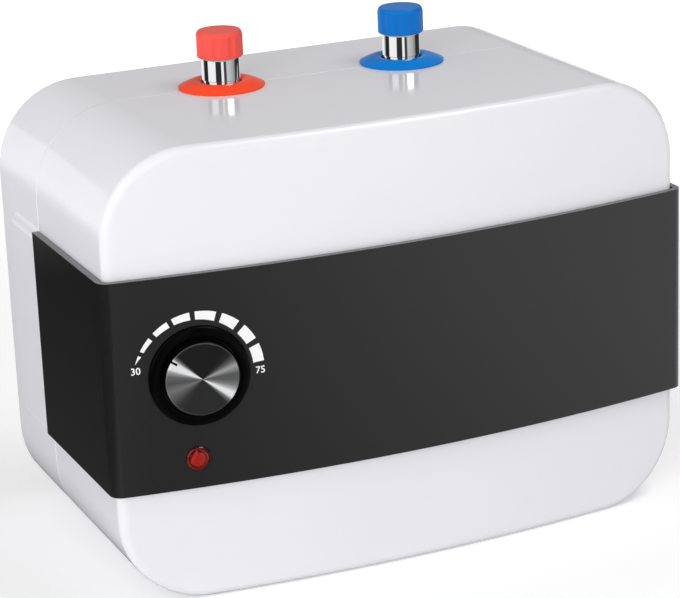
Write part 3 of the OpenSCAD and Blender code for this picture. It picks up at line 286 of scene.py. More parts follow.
def moulded_skin():
    """Shallow waves, fine grain and a faint unevenness of tone, as on a moulding."""
    if "moulded_skin" in bpy.data.node_groups:
        return bpy.data.node_groups["moulded_skin"]
    group, given, made = new_group(
        "moulded_skin",
        [("Waves per metre", "NodeSocketFloat", 160.0), ("Grain per metre", "NodeSocketFloat", 2000.0),
         ("Grain share", "NodeSocketFloat", 0.5), ("Roughness", "NodeSocketFloat", 0.3),
         ("Unevenness", "NodeSocketFloat", 0.03)],
        ["Height", "Roughness", "Tone"])
    clouds_per_metre = 19.0
    spot = wire(group, "ShaderNodeTexCoord").outputs["Object"]
    waves = wire(group, "ShaderNodeTexNoise", detail=1.0)
    grain = wire(group, "ShaderNodeTexNoise", detail=2.0)
    cloud = wire(group, "ShaderNodeTexNoise", scale=clouds_per_metre, detail=3.0)
    for noise in (waves, grain, cloud):
        join(group, (spot, noise.inputs["Vector"]))
    mixed = wire(group, "ShaderNodeMix", data_type="FLOAT")
    join(group, (given.outputs["Waves per metre"], waves.inputs["Scale"]),
         (given.outputs["Grain per metre"], grain.inputs["Scale"]),
         (given.outputs["Grain share"], mixed.inputs[0]),
         (waves.outputs[0], mixed.inputs[2]), (grain.outputs[0], mixed.inputs[3]))

    def uneven(noise):
        off_middle = sums(group, "SUBTRACT", noise.outputs[0], 0.5)
        return sums(group, "MULTIPLY", off_middle, given.outputs["Unevenness"])

    drift = uneven(cloud)
    change = sums(group, "ADD", drift, uneven(grain))
    join(group, (mixed.outputs[0], made.inputs["Height"]),
         (sums(group, "ADD", given.outputs["Roughness"], change), made.inputs["Roughness"]),
         (sums(group, "ADD", drift, 1.0), made.inputs["Tone"]))
    return group


def turned_rings():
    """Circles round an axis, as a lathe leaves them, with the distance and direction from that axis."""
    if "turned_rings" in bpy.data.node_groups:
        return bpy.data.node_groups["turned_rings"]
    group, given, made = new_group(
        "turned_rings",
        [("Middle", "NodeSocketVector", (0, 0, 0)), ("Axis", "NodeSocketVector", (0, 0, 1)),
         ("Across", "NodeSocketVector", (1, 0, 0)), ("Rings per metre", "NodeSocketFloat", 3000.0)],
        ["Height", "Radius", "Turn"])

    def vector(operation, a, b):
        node = wire(group, "ShaderNodeVectorMath", operation=operation)
        join(group, (a, node.inputs[0]), (b, node.inputs[1]))
        return node.outputs

    spot = wire(group, "ShaderNodeTexCoord").outputs["Object"]
    arm = vector("SUBTRACT", spot, given.outputs["Middle"])["Vector"]
    side = vector("CROSS_PRODUCT", given.outputs["Axis"], given.outputs["Across"])["Vector"]
    x = vector("DOT_PRODUCT", arm, given.outputs["Across"])["Value"]
    y = vector("DOT_PRODUCT", arm, side)["Value"]
    squares = sums(group, "ADD", sums(group, "MULTIPLY", x, x), sums(group, "MULTIPLY", y, y))
    radius = sums(group, "SQRT", squares)
    line = wire(group, "ShaderNodeTexNoise", noise_dimensions="1D", scale=1.0, detail=2.0)
    join(group, (sums(group, "MULTIPLY", radius, given.outputs["Rings per metre"]), line.inputs["W"]),
         (line.outputs[0], made.inputs["Height"]), (radius, made.inputs["Radius"]),
         (sums(group, "ARCTAN2", y, x), made.inputs["Turn"]))
    return group


def place_group(tree, group, **values):
    node = wire(tree, "ShaderNodeGroup", node_tree=group)
    for key, value in values.items():
        node.inputs[key.replace("_", " ")].default_value = value
    return node


def finish(name, base, **values):
    """A new material, its node tree and its shader, with constant values on the shader's sockets."""
    material = bpy.data.materials.new(name)
    material.use_nodes = True
    shader = shader_of(material)
    shader.inputs["Base Color"].default_value = (*base, 1)
    for key, value in values.items():
        shader.inputs[key.replace("_", " ")].default_value = value
    return material, material.node_tree, shader


def moulded(name, base, roughness, waves=160.0, grain=2000.0, grain_share=0.5, depth=0.00001,
            unevenness=0.05, **values):
    """A moulded plastic or rubber finish."""
    material, tree, shader = finish(name, base, **values)
    skin = place_group(tree, moulded_skin(), Waves_per_metre=waves, Grain_per_metre=grain,
                       Grain_share=grain_share, Roughness=roughness, Unevenness=unevenness)
    join(tree, (tinted(tree, base, skin.outputs["Tone"]), shader.inputs["Base Color"]),
         (skin.outputs["Roughness"], shader.inputs["Roughness"]))
    bumped(tree, shader, skin.outputs["Height"], depth)
    return material


def metal(name, base, roughness, grain=900.0, depth=0.000008):
    """A plain plated or drawn metal."""
    return moulded(name, base, roughness, waves=90.0, grain=grain, grain_share=0.6, depth=depth,
                   unevenness=0.1, Metallic=1.0)


def soft_edges():
    """A geometry group that drops a solid's own normals and shades it smooth, apart from its sharp edges."""
    if "soft_edges" in bpy.data.node_groups:
        return bpy.data.node_groups["soft_edges"]
    group = bpy.data.node_groups.new("soft_edges", "GeometryNodeTree")
    group.interface.new_socket("Geometry", in_out="INPUT", socket_type="NodeSocketGeometry")
    angle = group.interface.new_socket("Angle", in_out="INPUT", socket_type="NodeSocketFloat")
    angle.default_value = math.radians(CRISP_DEG)
    group.interface.new_socket("Geometry", in_out="OUTPUT", socket_type="NodeSocketGeometry")
    given = group.nodes.new("NodeGroupInput")
    made = group.nodes.new("NodeGroupOutput")
    bare = wire(group, "GeometryNodeRemoveAttribute")
    bare.inputs["Name"].default_value = "custom_normal"
    smooth = wire(group, "GeometryNodeSetShadeSmooth")
    crisp = wire(group, "GeometryNodeSetShadeSmooth", domain="EDGE")
    crisp.inputs["Shade Smooth"].default_value = False
    bend = wire(group, "GeometryNodeInputMeshEdgeAngle")
    over = wire(group, "FunctionNodeCompare", data_type="FLOAT", operation="GREATER_THAN")
    join(group, (given.outputs[0], bare.inputs[0]), (bare.outputs[0], smooth.inputs[0]),
         (smooth.outputs[0], crisp.inputs[0]), (crisp.outputs[0], made.inputs[0]),
         (bend.outputs["Unsigned Angle"], over.inputs["A"]), (given.outputs["Angle"], over.inputs["B"]),
         (over.outputs[0], crisp.inputs["Selection"]))
    return group


def dress(name, material, angle=CRISP_DEG, bevel=0.0):
    """Gives a solid its material and smooth shading, and when given a bevel width, breaks its sharp edges
    with a small bevel.
    """
    piece = NODES[name]
    piece.data.materials.clear()
    piece.data.materials.append(material)
    weld = piece.modifiers.new("join", "WELD")
    weld.merge_threshold = 0.002 * MM
    if bevel:
        edge = piece.modifiers.new("broken_edge", "BEVEL")
        edge.width = bevel
        edge.segments = 2
        edge.limit_method = "ANGLE"
        edge.angle_limit = math.radians(40)
        edge.use_clamp_overlap = True
    shade = piece.modifiers.new("soft_edges", "NODES")
    shade.node_group = soft_edges()
    shade[soft_edges().interface.items_tree["Angle"].identifier] = math.radians(angle)
    weigh = piece.modifiers.new("flat_faces", "WEIGHTED_NORMAL")
    weigh.keep_sharp = True
    weigh.weight = 80


def new_piece(name, points, faces, material, body=ROOT):
    mesh = bpy.data.meshes.new(name)
    mesh.from_pydata([tuple(p) for p in points], [], faces)
    mesh.validate()
    mesh.update()
    mesh.materials.append(material)
    piece = bpy.data.objects.new(name, mesh)
    bpy.context.scene.collection.objects.link(piece)
    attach(piece, body)
    return piece


def on_band(u, v, lift):
    """The point of the band's bow that lies u across and v up from the dial's middle, lifted off it."""
    flat = DIAL + u * ACROSS
    arm = Vector((flat.x - BOW_MID.x, flat.y - BOW_MID.y, 0)).normalized()
    return BOW_MID + (BOW_R + lift) * arm + Vector((0, 0, v))


# Pieces


class HEATER_OT_housing(bpy.types.Operator):
    """Finish the two moulded halves of the housing"""

    bl_idname = "heater.housing"
    bl_label = "Housing"

    def paint_seam_light(self, plastic, look):
        """Paints a highlight on the seam as a pale line on the sides, and paints shade on it on the top,
        where it catches light.
        """
        tree = plastic.node_tree
        part_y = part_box("front_shell")[1][1]
        spot = parts_of(tree, wire(tree, "ShaderNodeTexCoord").outputs["Object"])
        facing = parts_of(tree, wire(tree, "ShaderNodeNewGeometry").outputs["True Normal"])
        close = sums(tree, "LESS_THAN", apart(tree, spot["Y"], part_y), look.seam_w)
        up = sums(tree, "ABSOLUTE", facing["Z"])
        # Painted highlight on the seam's sides, painted shade on its top
        change = sums(tree, "MULTIPLY_ADD", up, -look.seam_painted_shade - look.seam_highlight, look.seam_highlight)
        tone = sums(tree, "MULTIPLY_ADD", close, change, 1.0)
        retone(plastic, tone)

    def paint_pad_highlights(self, plastic, look):
        """Paints soft pale lines, a painted highlight, where the side pads' sloping edges begin and end, as
        rounded edges have.
        """
        tree = plastic.node_tree
        side_x, part_y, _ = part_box("front_shell")[1]
        pad = [v.co for v in NODES["rear_shell"].data.vertices if v.co.x > side_x]
        face_x = max(co.x for co in pad) - 0.01 * MM
        face = [co for co in pad if co.x > face_x]
        foot_y, brow_y = (max(co.y for co in corners) for corners in (pad, face))
        foot_z, brow_z = (max(co.z for co in corners) for corners in (pad, face))
        mid_z = 0.5 * (foot_z + min(co.z for co in pad))
        spot = parts_of(tree, wire(tree, "ShaderNodeTexCoord").outputs["Object"])
        beside = sums(tree, "GREATER_THAN", sums(tree, "ABSOLUTE", spot["X"]), side_x - look.pad_highlight_reach)
        behind = sums(tree, "GREATER_THAN", spot["Y"], part_y)
        rise = apart(tree, spot["Z"], mid_z)
        fade_l = foot_y - brow_y

        def border(level, end_y):
            near = ranged(tree, apart(tree, rise, level), look.pad_highlight_reach, 0.0, shape="SMOOTHSTEP")
            before = ranged(tree, spot["Y"], end_y, end_y - fade_l, shape="SMOOTHSTEP")
            return sums(tree, "MULTIPLY", near, before)

        foot = border(foot_z - mid_z, foot_y)
        brow = border(brow_z - mid_z, brow_y)
        line = sums(tree, "MULTIPLY", sums(tree, "MAXIMUM", foot, brow),
                    sums(tree, "MULTIPLY", beside, behind))
        # Painted highlight: paler along the borders of the pads' slopes
        tone = sums(tree, "MULTIPLY_ADD", line, look.pad_highlight_gain, 1.0)
        retone(plastic, tone)

    def execute(self, context):
        look = context.scene.heater_housing
        plastic = moulded("white_moulding", look.plastic[:], look.roughness, waves=1 / look.peel_size,
                          grain=1500.0, grain_share=0.15, depth=look.peel_depth, unevenness=0.03)
        self.paint_seam_light(plastic, look)
        self.paint_pad_highlights(plastic, look)
        dress("front_shell", plastic)
        dress("rear_shell", plastic)
        return {"FINISHED"}


class HEATER_OT_band(bpy.types.Operator):
    """Finish the satin black control band"""

    bl_idname = "heater.band"
    bl_label = "Control band"

    def execute(self, context):
        look = context.scene.heater_band
        satin = moulded("satin_black", look.plastic[:], look.roughness, waves=120.0,
                        grain=1 / look.grain_size, grain_share=0.85, depth=look.grain_depth, unevenness=0.08,
                        Specular_IOR_Level=0.5)
        tree = satin.node_tree
        shader = shader_of(satin)
        facing = parts_of(tree, wire(tree, "ShaderNodeNewGeometry").outputs["True Normal"])
        # How much of a face's direction makes it an edge or a side: from none to all
        turn_from, turn_to = 0.6, 0.9
        # The band's upper and lower edges are painted paler than its face, a painted highlight for the light
        # that they catch
        edge = wire(tree, "ShaderNodeMix", data_type="RGBA")
        edge.inputs[7].default_value = (*look.edge, 1)
        level = ranged(tree, sums(tree, "ABSOLUTE", facing["Z"]), turn_from, turn_to)
        join(tree, (level, edge.inputs[0]), (source_of(shader, "Base Color"), edge.inputs[6]),
             (edge.outputs[2], shader.inputs["Base Color"]))
        # Its sides are smoother than its bowed front
        sideways = sums(tree, "ABSOLUTE", facing["X"])
        smoother = ranged(tree, sideways, turn_from, turn_to, 1.0, look.side_share)
        rough = sums(tree, "MULTIPLY", source_of(shader, "Roughness"), smoother)
        join(tree, (rough, shader.inputs["Roughness"]))
        dress("control_band", satin, bevel=0.35 * MM)
        return {"FINISHED"}


# Where each bar of the printed scale starts and ends, in degrees from the right, from cool to hot
SCALE_BARS = ((162.7, 154.8), (150.7, 137.2), (132.0, 117.0), (112.4, 96.0), (91.3, 72.3), (66.9, 49.9),
              (43.7, 27.7), (22.2, 5.6))
# How the bars widen: this much sooner than at the scale's end, and by this power of the way there
WIDE_SOONER = 1.35
WIDE_POWER = 0.8
# Share of its width that the first bar has at its tip
FIRST_TIP = 0.12
# Degrees of a bar between its rows of points
BAR_STEP = 2
# Where the two numbers stand, across and up from the dial's middle
LOW_NUMBER_AT = (-33.2 * MM, 6.4 * MM)
HIGH_NUMBER_AT = (32.4 * MM, -1.6 * MM)
# How much bolder the numbers are than their type
NUMBER_BOLD = 0.06 * MM
# Gap between the ink and the band
INK_GAP = 0.02 * MM


class HEATER_OT_scale(bpy.types.Operator):
    """Print the dial's scale of widening bars and its two plain numbers on the band"""

    bl_idname = "heater.scale"
    bl_label = "Printed scale"

    def bar(self, look, number, start, end, ink):
        low, high = SCALE_BARS[0][0], SCALE_BARS[-1][1]
        steps = max(2, round(abs(end - start) / BAR_STEP))
        rows = []
        for i in range(steps + 1):
            angle = start + (end - start) * i / steps
            along = (low - angle) / (low - high)
            wide = min(1.0, along * WIDE_SOONER) ** WIDE_POWER
            inner = look.inner_low_r + (look.inner_high_r - look.inner_low_r) * wide
            if number == 0:
                inner = look.outer_r - (look.outer_r - inner) * (FIRST_TIP + (1 - FIRST_TIP) * i / steps)
            rows.append((math.radians(angle), inner))
        points = []
        for lift in (INK_GAP, look.ink_h):
            for angle, inner in rows:
                for r in (inner, look.outer_r):
                    points.append(on_band(r * math.cos(angle), r * math.sin(angle), lift))
        n = 2 * len(rows)
        faces = []
        for i in range(0, n - 2, 2):
            faces += [(n + i, n + i + 1, n + i + 3, n + i + 2), (i, i + 2, i + 3, i + 1),
                      (i, n + i, n + i + 2, i + 2), (i + 1, i + 3, n + i + 3, n + i + 1)]
        faces += [(0, 1, n + 1, n), (n - 2, 2 * n - 2, 2 * n - 1, n - 1)]
        new_piece(f"scale_bar_{number + 1}", points, faces, ink)

    def number(self, name, text, place, look, ink):
        curve = bpy.data.curves.new(name, "FONT")
        curve.body = text
        curve.size = look.label_size
        curve.align_x = "CENTER"
        curve.align_y = "CENTER"
        curve.offset = NUMBER_BOLD
        curve.extrude = 0.5 * look.ink_h
        curve.resolution_u = 4
        plate = bpy.data.objects.new(name + "_outline", curve)
        bpy.context.scene.collection.objects.link(plate)
        bpy.context.view_layer.update()
        flat = bpy.data.meshes.new_from_object(plate.evaluated_get(bpy.context.evaluated_depsgraph_get()))
        # A little more than half the ink's thickness keeps the back of the numbers off the band
        middle = 0.55 * look.ink_h
        points = [on_band(place[0] + p.co.x, place[1] + p.co.y, middle + p.co.z) for p in flat.vertices]
        faces = [tuple(f.vertices) for f in flat.polygons]
        bpy.data.objects.remove(plate)
        bpy.data.curves.remove(curve)
        bpy.data.meshes.remove(flat)
        new_piece(name, points, faces, ink)

    def execute(self, context):
        look = context.scene.heater_dial
        ink = moulded("white_ink", look.ink[:], 0.5, waves=300.0, grain=6000.0, grain_share=0.8,
                      depth=0.000003)
        for number, (start, end) in enumerate(SCALE_BARS):
            self.bar(look, number, start, end, ink)
        self.number("low_number", look.low_label, LOW_NUMBER_AT, look, ink)
        self.number("high_number", look.high_label, HIGH_NUMBER_AT, look, ink)
        return {"FINISHED"}


# Tones of the spun face's fans, a painted reflection, at shares of a turn from the left, anticlockwise
PAINTED_SPUN_REFLECTION = ((0.0, 0.1), (0.042, 0.21), (0.072, 0.13), (0.117, 0.045), (0.153, 0.03), (0.362, 0.03), (0.38, 0.2),
        (0.394, 0.95), (0.414, 1.0), (0.432, 0.5), (0.45, 0.25), (0.478, 0.13), (0.51, 0.12), (0.547, 0.43),
        (0.572, 0.14), (0.6, 0.025), (0.64, 0.013), (0.866, 0.013), (0.882, 0.2), (0.892, 0.85),
        (0.905, 1.0), (0.93, 0.95), (0.944, 0.4), (0.965, 0.16), (1.0, 0.1))


class HEATER_OT_knob(bpy.types.Operator):
    """Finish the knob, its spun metal face and its bezel"""

    bl_idname = "heater.knob"
    bl_label = "Knob"

    def spun(self, look):
        material, tree, shader = finish("spun_aluminium", look.metal[:], Metallic=0.35, Roughness=0.34,
                                        Anisotropic=0.5, Specular_IOR_Level=0.2)
        rings = place_group(tree, turned_rings(), Middle=DIAL, Axis=-INWARD, Across=ACROSS,
                            Rings_per_metre=5200.0)
        tangent = wire(tree, "ShaderNodeTangent", direction_type="RADIAL", axis="Y")
        join(tree, (tangent.outputs[0], shader.inputs["Tangent"]))
        # Light and dark fans round the middle: a painted reflection of bright and dark surroundings, as a
        # spun face shows them
        turn = sums(tree, "DIVIDE", sums(tree, "ADD", rings.outputs["Turn"], math.pi), 2 * math.pi)
        ring_depth = 0.3
        lines = sums(tree, "MULTIPLY", rings.outputs["Height"], ring_depth)
        lines = sums(tree, "ADD", lines, 1 - 0.5 * ring_depth)
        painted_reflection = sums(tree, "MULTIPLY", graded(tree, turn, PAINTED_SPUN_REFLECTION), lines)
        # Painted highlight: a pale ring along the face's edge
        low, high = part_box("knob_face")
        rim_highlight = sums(tree, "GREATER_THAN", rings.outputs["Radius"], 0.5 * (high[2] - low[2]) - look.rim_highlight_w)
        tone = sums(tree, "MULTIPLY_ADD", rim_highlight, look.rim_highlight_gain, painted_reflection)
        join(tree, (tinted(tree, look.metal[:], tone), shader.inputs["Base Color"]))
        bumped(tree, shader, rings.outputs["Height"], 0.000006)
        return material

    def execute(self, context):
        look = context.scene.heater_dial
        ring = moulded("ring_black", look.ring[:], 0.22, waves=150.0, grain=2500.0, depth=0.000004,
                       unevenness=0.06, Specular_IOR_Level=0.05)
        dress("dial_bezel", ring)
        dress("knob_body", ring)
        dress("knob_face", self.spun(look), bevel=0.2 * MM)
        return {"FINISHED"}


# Tones of the lens from its middle out to its edge, painted light and shade: the lit body, the shaded wall
# of its seat and the rim with a painted highlight
LENS_PAINTED_LIGHT = ((0.0, 1.0), (0.55, 0.95), (0.64, 0.28), (0.74, 0.22), (0.8, 0.75), (0.87, 0.6),
              (0.93, 0.15), (1.0, 0.1))


class HEATER_OT_lamp(bpy.types.Operator):
    """Finish the red lamp"""

    bl_idname = "heater.lamp"
    bl_label = "Lamp"

    def execute(self, context):
        look = context.scene.heater_lamp
        material, tree, shader = finish("red_lens", look.lens[:], Roughness=0.07, IOR=1.5, Coat_Weight=0.15,
                                        Emission_Strength=look.glow)
        skin = place_group(tree, moulded_skin(), Waves_per_metre=700.0, Grain_per_metre=2600.0,
                           Grain_share=0.6, Roughness=0.08, Unevenness=0.7)
        low, high = (Vector(corner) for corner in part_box("lamp_lens"))
        middle = 0.5 * (low + high)
        outward = Vector((middle.x - BOW_MID.x, middle.y - BOW_MID.y, 0)).normalized()
        rings = place_group(tree, turned_rings(), Middle=middle, Axis=outward, Across=UP.cross(outward))
        along = sums(tree, "DIVIDE", rings.outputs["Radius"], 0.5 * (high.z - low.z))
        # The rings of painted light and shade go into the glow as well
        lit = sums(tree, "MULTIPLY", skin.outputs["Tone"], graded(tree, along, LENS_PAINTED_LIGHT))
        tone = tinted(tree, look.lens[:], lit)
        join(tree, (tone, shader.inputs["Base Color"]), (tone, shader.inputs["Emission Color"]))
        bumped(tree, shader, skin.outputs["Height"], 0.000006)
        dress("lamp_lens", material)
        glass, _, _ = finish("lamp_glass", (0.95, 0.62, 0.42), Roughness=0.05, Transmission_Weight=0.8)
        dress("lamp_body", glass)
        dress("lamp_clip", metal("lamp_clip_steel", (0.5, 0.51, 0.53), 0.35))
        return {"FINISHED"}


# Points in one turn of a stub's thread, and the part of a turn in which it runs out
THREAD_STEPS = 40
THREAD_FADE = 1 / 6
# Half widths of the thread's foot and crest, as shares of its pitch, and how far it goes into the stub
THREAD_FOOT = 0.42
THREAD_CREST = 0.08
THREAD_BITE = 0.1 * MM


class HEATER_OT_pipes(bpy.types.Operator):
    """Finish the chrome stubs with their coloured discs and caps"""

    bl_idname = "heater.pipes"
    bl_label = "Pipe stubs"

    def quiet_in_gloss(self, material, look):
        """Paints a piece's reflection: where another surface mirrors it, the piece glows as pale as the
        room's walls.
        """
        tree = material.node_tree
        shader = shader_of(material)
        mirrored = wire(tree, "ShaderNodeLightPath").outputs["Is Glossy Ray"]
        straight = sums(tree, "SUBTRACT", 1.0, mirrored)
        retone(material, straight)
        join(tree, (tinted(tree, 3 * (look.cap_mirrored,), mirrored), shader.inputs["Emission Color"]))
        shader.inputs["Emission Strength"].default_value = 1.0

    def chrome(self, look):
        material, tree, shader = finish("bright_chrome", look.chrome[:], Metallic=1.0)
        skin = place_group(tree, moulded_skin(), Waves_per_metre=220.0, Grain_per_metre=3000.0,
                           Grain_share=0.1, Roughness=0.03, Unevenness=0.03)
        # The plating is a touch crowned, so it also mirrors what is above the level of the stub
        crown = wire(tree, "ShaderNodeVectorMath", operation="ADD")
        crown.inputs[1].default_value = (0, 0, look.crown)
        even = wire(tree, "ShaderNodeVectorMath", operation="NORMALIZE")
        bump = bumped(tree, shader, skin.outputs["Height"], 0.000002)
        join(tree, (wire(tree, "ShaderNodeNewGeometry").outputs["Normal"], crown.inputs[0]),
             (crown.outputs[0], even.inputs[0]), (even.outputs[0], bump.inputs["Normal"]),
             (skin.outputs["Roughness"], shader.inputs["Roughness"]))
        return material

    def thread(self, side, look, chrome):
        """Winds one ridge round the end of a stub that its cap covers, running out at both ends."""
        low, high = (Vector(corner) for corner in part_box(f"{side}_cap"))
        middle = 0.5 * (low + high)
        spots = [v.co for v in NODES[f"{side}_stub"].data.vertices if v.co.z > low.z]
        stub_r = max(math.hypot(p.x - middle.x, p.y - middle.y) for p in spots)
        start = low.z + look.thread_clear
        rise = max(p.z for p in spots) - look.thread_clear - start
        steps = round(THREAD_STEPS * rise / look.thread_pitch)
        fade_steps = THREAD_FADE * THREAD_STEPS
        points = []
        for i in range(steps + 1):
            angle = 2 * math.pi * i / THREAD_STEPS
            crest = look.thread_h * min(1.0, i / fade_steps, (steps - i) / fade_steps)
            z = start + rise * i / steps
            for out, up in ((-THREAD_BITE, -THREAD_FOOT), (crest, -THREAD_CREST), (crest, THREAD_CREST),
                            (-THREAD_BITE, THREAD_FOOT)):
                points.append((middle.x + (stub_r + out) * math.cos(angle),
                               middle.y + (stub_r + out) * math.sin(angle), z + up * look.thread_pitch))
        faces = [(0, 1, 2, 3), tuple(4 * steps + k for k in (3, 2, 1, 0))]
        for i in range(0, 4 * steps, 4):
            faces += [(i + k, i + 4 + k, i + 4 + (k + 1) % 4, i + (k + 1) % 4) for k in range(4)]
        mesh = new_piece(f"{side}_thread", points, faces, chrome).data
        mesh.shade_smooth()
        mesh.set_sharp_from_angle(angle=math.radians(CRISP_DEG))

    def execute(self, context):
        look = context.scene.heater_pipes
        chrome = self.chrome(look)
        for side in ("hot", "cold"):
            dress(f"{side}_stub", chrome)
            self.thread(side, look, chrome)
            cap = moulded(f"{side}_cap_plastic", getattr(look, f"{side}_cap")[:], 0.36, waves=250.0,
                          grain=1800.0, depth=0.000008, unevenness=0.08, Specular_IOR_Level=0.15)
            disc = moulded(f"{side}_disc_plastic", getattr(look, f"{side}_disc")[:], 0.16, waves=180.0,
                           grain=2200.0, grain_share=0.3, depth=0.000005, unevenness=0.06,
                           Specular_IOR_Level=0.06)
            self.quiet_in_gloss(cap, look)
            dress(f"{side}_cap", cap, angle=16.0, bevel=0.15 * MM)
            dress(f"{side}_rosette", disc)
        dress("cold_dip_tube", moulded("natural_tube", (0.82, 0.82, 0.79), 0.45))
        return {"FINISHED"}


class HEATER_OT_back(bpy.types.Operator):
    """Finish the wall hanger, the cord gland and the screws at the back"""

    bl_idname = "heater.back"
    bl_label = "Back"

    def execute(self, context):
        zinc = metal("zinc_plate", (0.4, 0.41, 0.425), 0.33, grain=400.0)
        for name in ("hanger_plate", "hanger_screws", "shell_screws"):
            dress(name, zinc, bevel=0.12 * MM)
        dark = moulded("gland_black", (0.02, 0.02, 0.022), 0.48, grain=1500.0, depth=0.000012)
        for name in ("cord_gland", "gland_nut"):
            dress(name, dark, bevel=0.15 * MM)
        return {"FINISHED"}


class HEATER_OT_inside(bpy.types.Operator):
    """Finish the tank, the heater and the wiring inside"""

    bl_idname = "heater.inside"
    bl_label = "Inside"

    def execute(self, context):
        steel = metal("drawn_steel", (0.56, 0.57, 0.59), 0.32, grain=600.0)
        copper = metal("drawn_copper", (0.62, 0.29, 0.17), 0.3)
        brass = metal("turned_brass", (0.68, 0.5, 0.22), 0.3)
        anode = metal("cast_anode", (0.5, 0.51, 0.52), 0.6, depth=0.00003)
        foam = moulded("stiff_foam", (0.78, 0.74, 0.6), 0.9, waves=350.0, grain=1400.0, depth=0.00025,
                       unevenness=0.2)
        cream = moulded("cream_insulator", (0.74, 0.71, 0.62), 0.5)
        dark = moulded("dark_insulator", (0.03, 0.03, 0.033), 0.5)
        gasket = moulded("sheet_rubber", (0.22, 0.04, 0.03), 0.75, depth=0.00003)
        button = moulded("red_button", (0.6, 0.025, 0.018), 0.35)
        brown = moulded("brown_lead", (0.14, 0.05, 0.02), 0.5)
        blue = moulded("blue_lead", (0.01, 0.06, 0.28), 0.5)
        green = moulded("green_lead", (0.16, 0.3, 0.03), 0.5)
        groups = (
            (steel, ("tank_left", "tank_right", "flange_studs", "flange_nuts", "anode_nut",
                     "terminal_screw", "thermostat_screws", "thermostat_shaft")),
            (copper, ("heating_element", "sensor_pocket", "sensor_bulb", "capillary_tube")),
            (brass, ("element_flange",)),
            (anode, ("anode_rod",)),
            (foam, ("insulation_front", "insulation_rear")),
            (cream, ("thermostat_body", "terminal_bushes", "terminal_block")),
            (dark, ("thermal_cutout",)),
            (gasket, ("flange_gasket",)),
            (button, ("reset_button",)),
            (brown, ("supply_lead", "limiter_lead", "element_lead")),
            (blue, ("neutral_lead",)),
            (green, ("earth_lead",)))
        for material, names in groups:
            for name in names:
                dress(name, material)
        return {"FINISHED"}


# Stage

FLOOR_HALF = 6.0
# Each light's name, place, width and height, and whether glossy surfaces mirror it
LIGHTS = (("key", (-1.45, -1.54, 0.72), 1.3, False), ("side", (-1.9, 0.35, 0.42), 1.2, False),
          ("top", (0.75, -0.6, 1.8), 0.9, True))
LIGHTS_AIM = Vector((0, 0, 0.13))
# Tones of the room's pale walls and dark openings, in degrees from +X towards +Y
WALLS = ((0, 0.03), (26, 0.03), (34, 0.45), (132, 0.4), (134, 0.02), (162, 0.02), (166, 1.0), (214, 1.0),
         (218, 0.03), (251, 0.03), (254, 1.0), (266, 1.0), (270, 0.05), (283, 0.06), (289, 0.62),
         (316, 0.5), (341, 0.28), (347, 0.03))
# A long white card behind on the left: the degrees that it spans, and those up to its straight upper edge
CARD_FROM, CARD_TO = 88, 132
CARD_TOP = 10
SENSOR_W = 36.0


def seen_straight(tree, path):
    """1 where the camera sees a surface directly or through a clear one."""
    return sums(tree, "MAXIMUM", path["Is Camera Ray"], path["Is Transmission Ray"])


